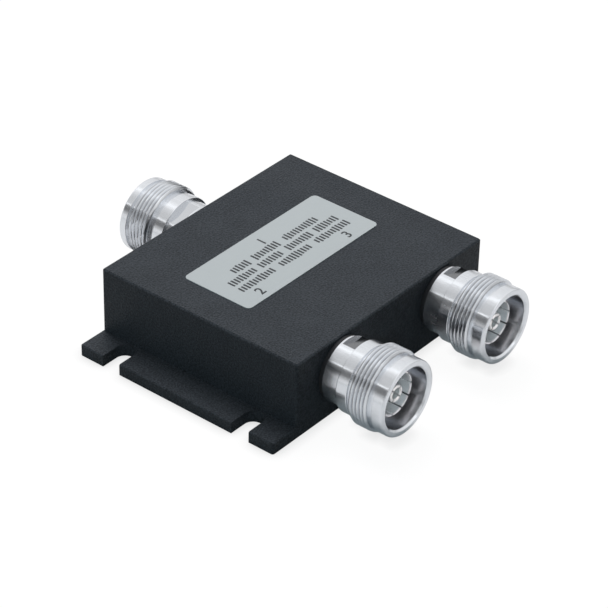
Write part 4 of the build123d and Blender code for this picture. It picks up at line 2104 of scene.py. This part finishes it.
@dataclass(frozen=True)
class Studio:
    """Pale floor, soft lamps and a pale surround.

    Attributes:
        floor_side: Side of the floor, in metres.
        floor_colour: Grey of the floor that the camera sees.
        floor_glow: Light of its own that makes it white there.
        contact_reach: How far the painted contact shadow reaches, in metres.
        contact_shade: How dark it is.
        mirror_colour: Grey of the floor in reflections.
        mirror_glow: Its light of its own there.
        bounce_colour: Grey of the floor for the light it throws back.
        surround_light: Colour of the surround as light.
        mirror_tint: Colour of the surround in reflections.
        tones: Angle above the right-hand horizon and the surround's tone there.
        lamps: The lamps.
    """

    floor_side: float = 6.0
    floor_colour: float = 0.055
    floor_glow: float = 0.95
    contact_reach: float = 0.0035
    contact_shade: float = 0.36
    mirror_colour: float = 0.60
    mirror_glow: float = 0.02
    bounce_colour: float = 0.05
    surround_light: Triple = (0.025, 0.036, 0.042)
    mirror_tint: Triple = (0.985, 0.99, 1.0)
    tones: tuple[Corner, ...] = (
        (0.0, 0.40), (5.0, 0.52), (11.0, 0.80), (60.0, 0.90), (74.0, 0.92), (80.0, 1.22),
        (84.0, 1.22), (91.0, 0.86), (100.0, 0.74), (112.0, 0.63), (134.5, 0.62), (135.5, 1.5),
        (137.5, 1.5), (139.0, 0.22), (155.0, 0.18), (166.0, 0.58), (173.0, 0.84), (180.0, 0.84),
    )
    lamps: tuple[SoftBox, ...] = (
        SoftBox("overhead_box", (0.28, 0.42, 1.08), (0.7, 0.7), 17.8, (1.03, 1.0, 1.0)),
        SoftBox("left_strip", (-1.1, 0.65, 0.35), (0.5, 0.9), 1.8, (0.76, 1.0, 1.12)),
        SoftBox("camera_fill", (-0.83, -0.67, 0.743), (0.3, 0.3), 4.7, (0.82, 1.0, 1.06)),
    )

    @staticmethod
    def rays(g: Graph) -> tuple[Value, Value]:
        """Masks of what the camera sees, and of what metal and glass show.

        Args:
            g: Graph of a material or the world.

        Returns:
            Both masks.
        """
        names = ("Is Camera Ray", "Is Glossy Ray", "Is Transmission Ray")
        seen, glossy, through = (g.out("ShaderNodeLightPath", output=name) for name in names)
        return seen, g.math("MAXIMUM", glossy, through)

    def floor_material(self) -> bpy.types.Material:
        """White to the camera and pale in reflections, with the object's shadow kept and a painted
        contact shadow near it.

        Returns:
            The floor's material.
        """
        material = bpy.data.materials.new("studio_floor")
        g = fresh_graph(material)
        seen, mirrored = self.rays(g)
        greys = (self.bounce_colour, self.mirror_colour, self.floor_colour)
        bounce, mirror, pale = (shade((grey,) * 3) for grey in greys)
        colour = g.mix_colour(seen, g.mix_colour(mirrored, bounce, mirror), pale)
        reach = {"Distance": self.contact_reach}
        # painted contact shadow: ambient occlusion darkens the floor's glow near the object
        near = g.out("ShaderNodeAmbientOcclusion", reach, "AO", samples=8)
        shown = g.mix_value(near, 1 - self.contact_shade, 1.0) * self.floor_glow
        glow = g.mix_value(seen, mirrored * self.mirror_glow, shown)
        painted_shade = g.out("ShaderNodeBsdfDiffuse", {"Color": colour})
        lit = g.out("ShaderNodeEmission", {"Strength": glow})
        both = g.out("ShaderNodeAddShader", {0: painted_shade, 1: lit})
        g.node("ShaderNodeOutputMaterial", {"Surface": both})
        return material

    def floor(self) -> None:
        """Lays the flat floor under the object."""
        half = self.floor_side / 2
        corners = [(-half, -half, 0), (half, -half, 0), (half, half, 0), (-half, half, 0)]
        mesh = bpy.data.meshes.new("studio_floor")
        mesh.from_pydata(corners, [], [(0, 1, 2, 3)])
        made = dress(mesh_object("studio_floor", mesh), self.floor_material())

    def surround(self) -> None:
        """Makes the world: white to the camera, graded in reflections, dim as light."""
        world = bpy.data.worlds.new("studio_surround")
        g = fresh_graph(world)
        x, _, z = g.split(g.out("ShaderNodeTexCoord", output="Generated"))
        graded = self.tone_ramp(g, g.math("ARCTAN2", z, x) / math.pi)
        seen, mirrored = self.rays(g)
        colour = g.mix_colour(mirrored, shade(self.surround_light), graded)
        colour = g.mix_colour(seen, colour, shade((1.0, 1.0, 1.0)))
        back = g.out("ShaderNodeBackground", {"Color": colour, "Strength": 1.0})
        g.node("ShaderNodeOutputWorld", {"Surface": back})
        bpy.context.scene.world = world

    def tone_ramp(self, g: Graph, turn: Value) -> Value:
        """Grey of the surround in reflections.

        Args:
            g: Graph of the world.
            turn: Angle above the right-hand horizon, as a share of half a turn.

        Returns:
            The colour.
        """
        ramp = g.node("ShaderNodeValToRGB", {0: turn})
        steps = ramp.color_ramp.elements
        for index, (angle, tone) in enumerate(self.tones):
            step = steps[index] if index < 2 else steps.new(angle / 180)
            step.position = angle / 180
            step.color = shade(self.mirror_tint, tone)
        return Value(g, ramp.outputs[0])

    def build(self) -> None:
        """Sets up floor, lamps, surround and camera."""
        self.floor()
        for lamp in self.lamps:
            lamp.build()
        self.surround()
        PhotoCamera().build()
        bpy.context.scene.view_settings.view_transform = "Standard"


# ---------------------------------------------------------------- assembly


def clear_scene() -> None:
    """Removes what a new file starts with."""
    for item in list(bpy.data.objects):
        bpy.data.objects.remove(item)


def main() -> None:
    """Builds the splitter's looks in order."""
    logging.basicConfig(level=logging.INFO, format="%(name)s: %(message)s")
    clear_scene()
    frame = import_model()
    log.info("building Studio")
    Studio().build()
    shop = Workshop(frame["nodes"])
    jacks = [Jack(port) for port in Port]
    for part in (Housing(), LabelPrint(), CoverScrews(), BoardScrews(), Circuit(), *jacks):
        log.info("building %s", type(part).__name__)
        part.build(shop)


if __name__ == "__main__":
    main()
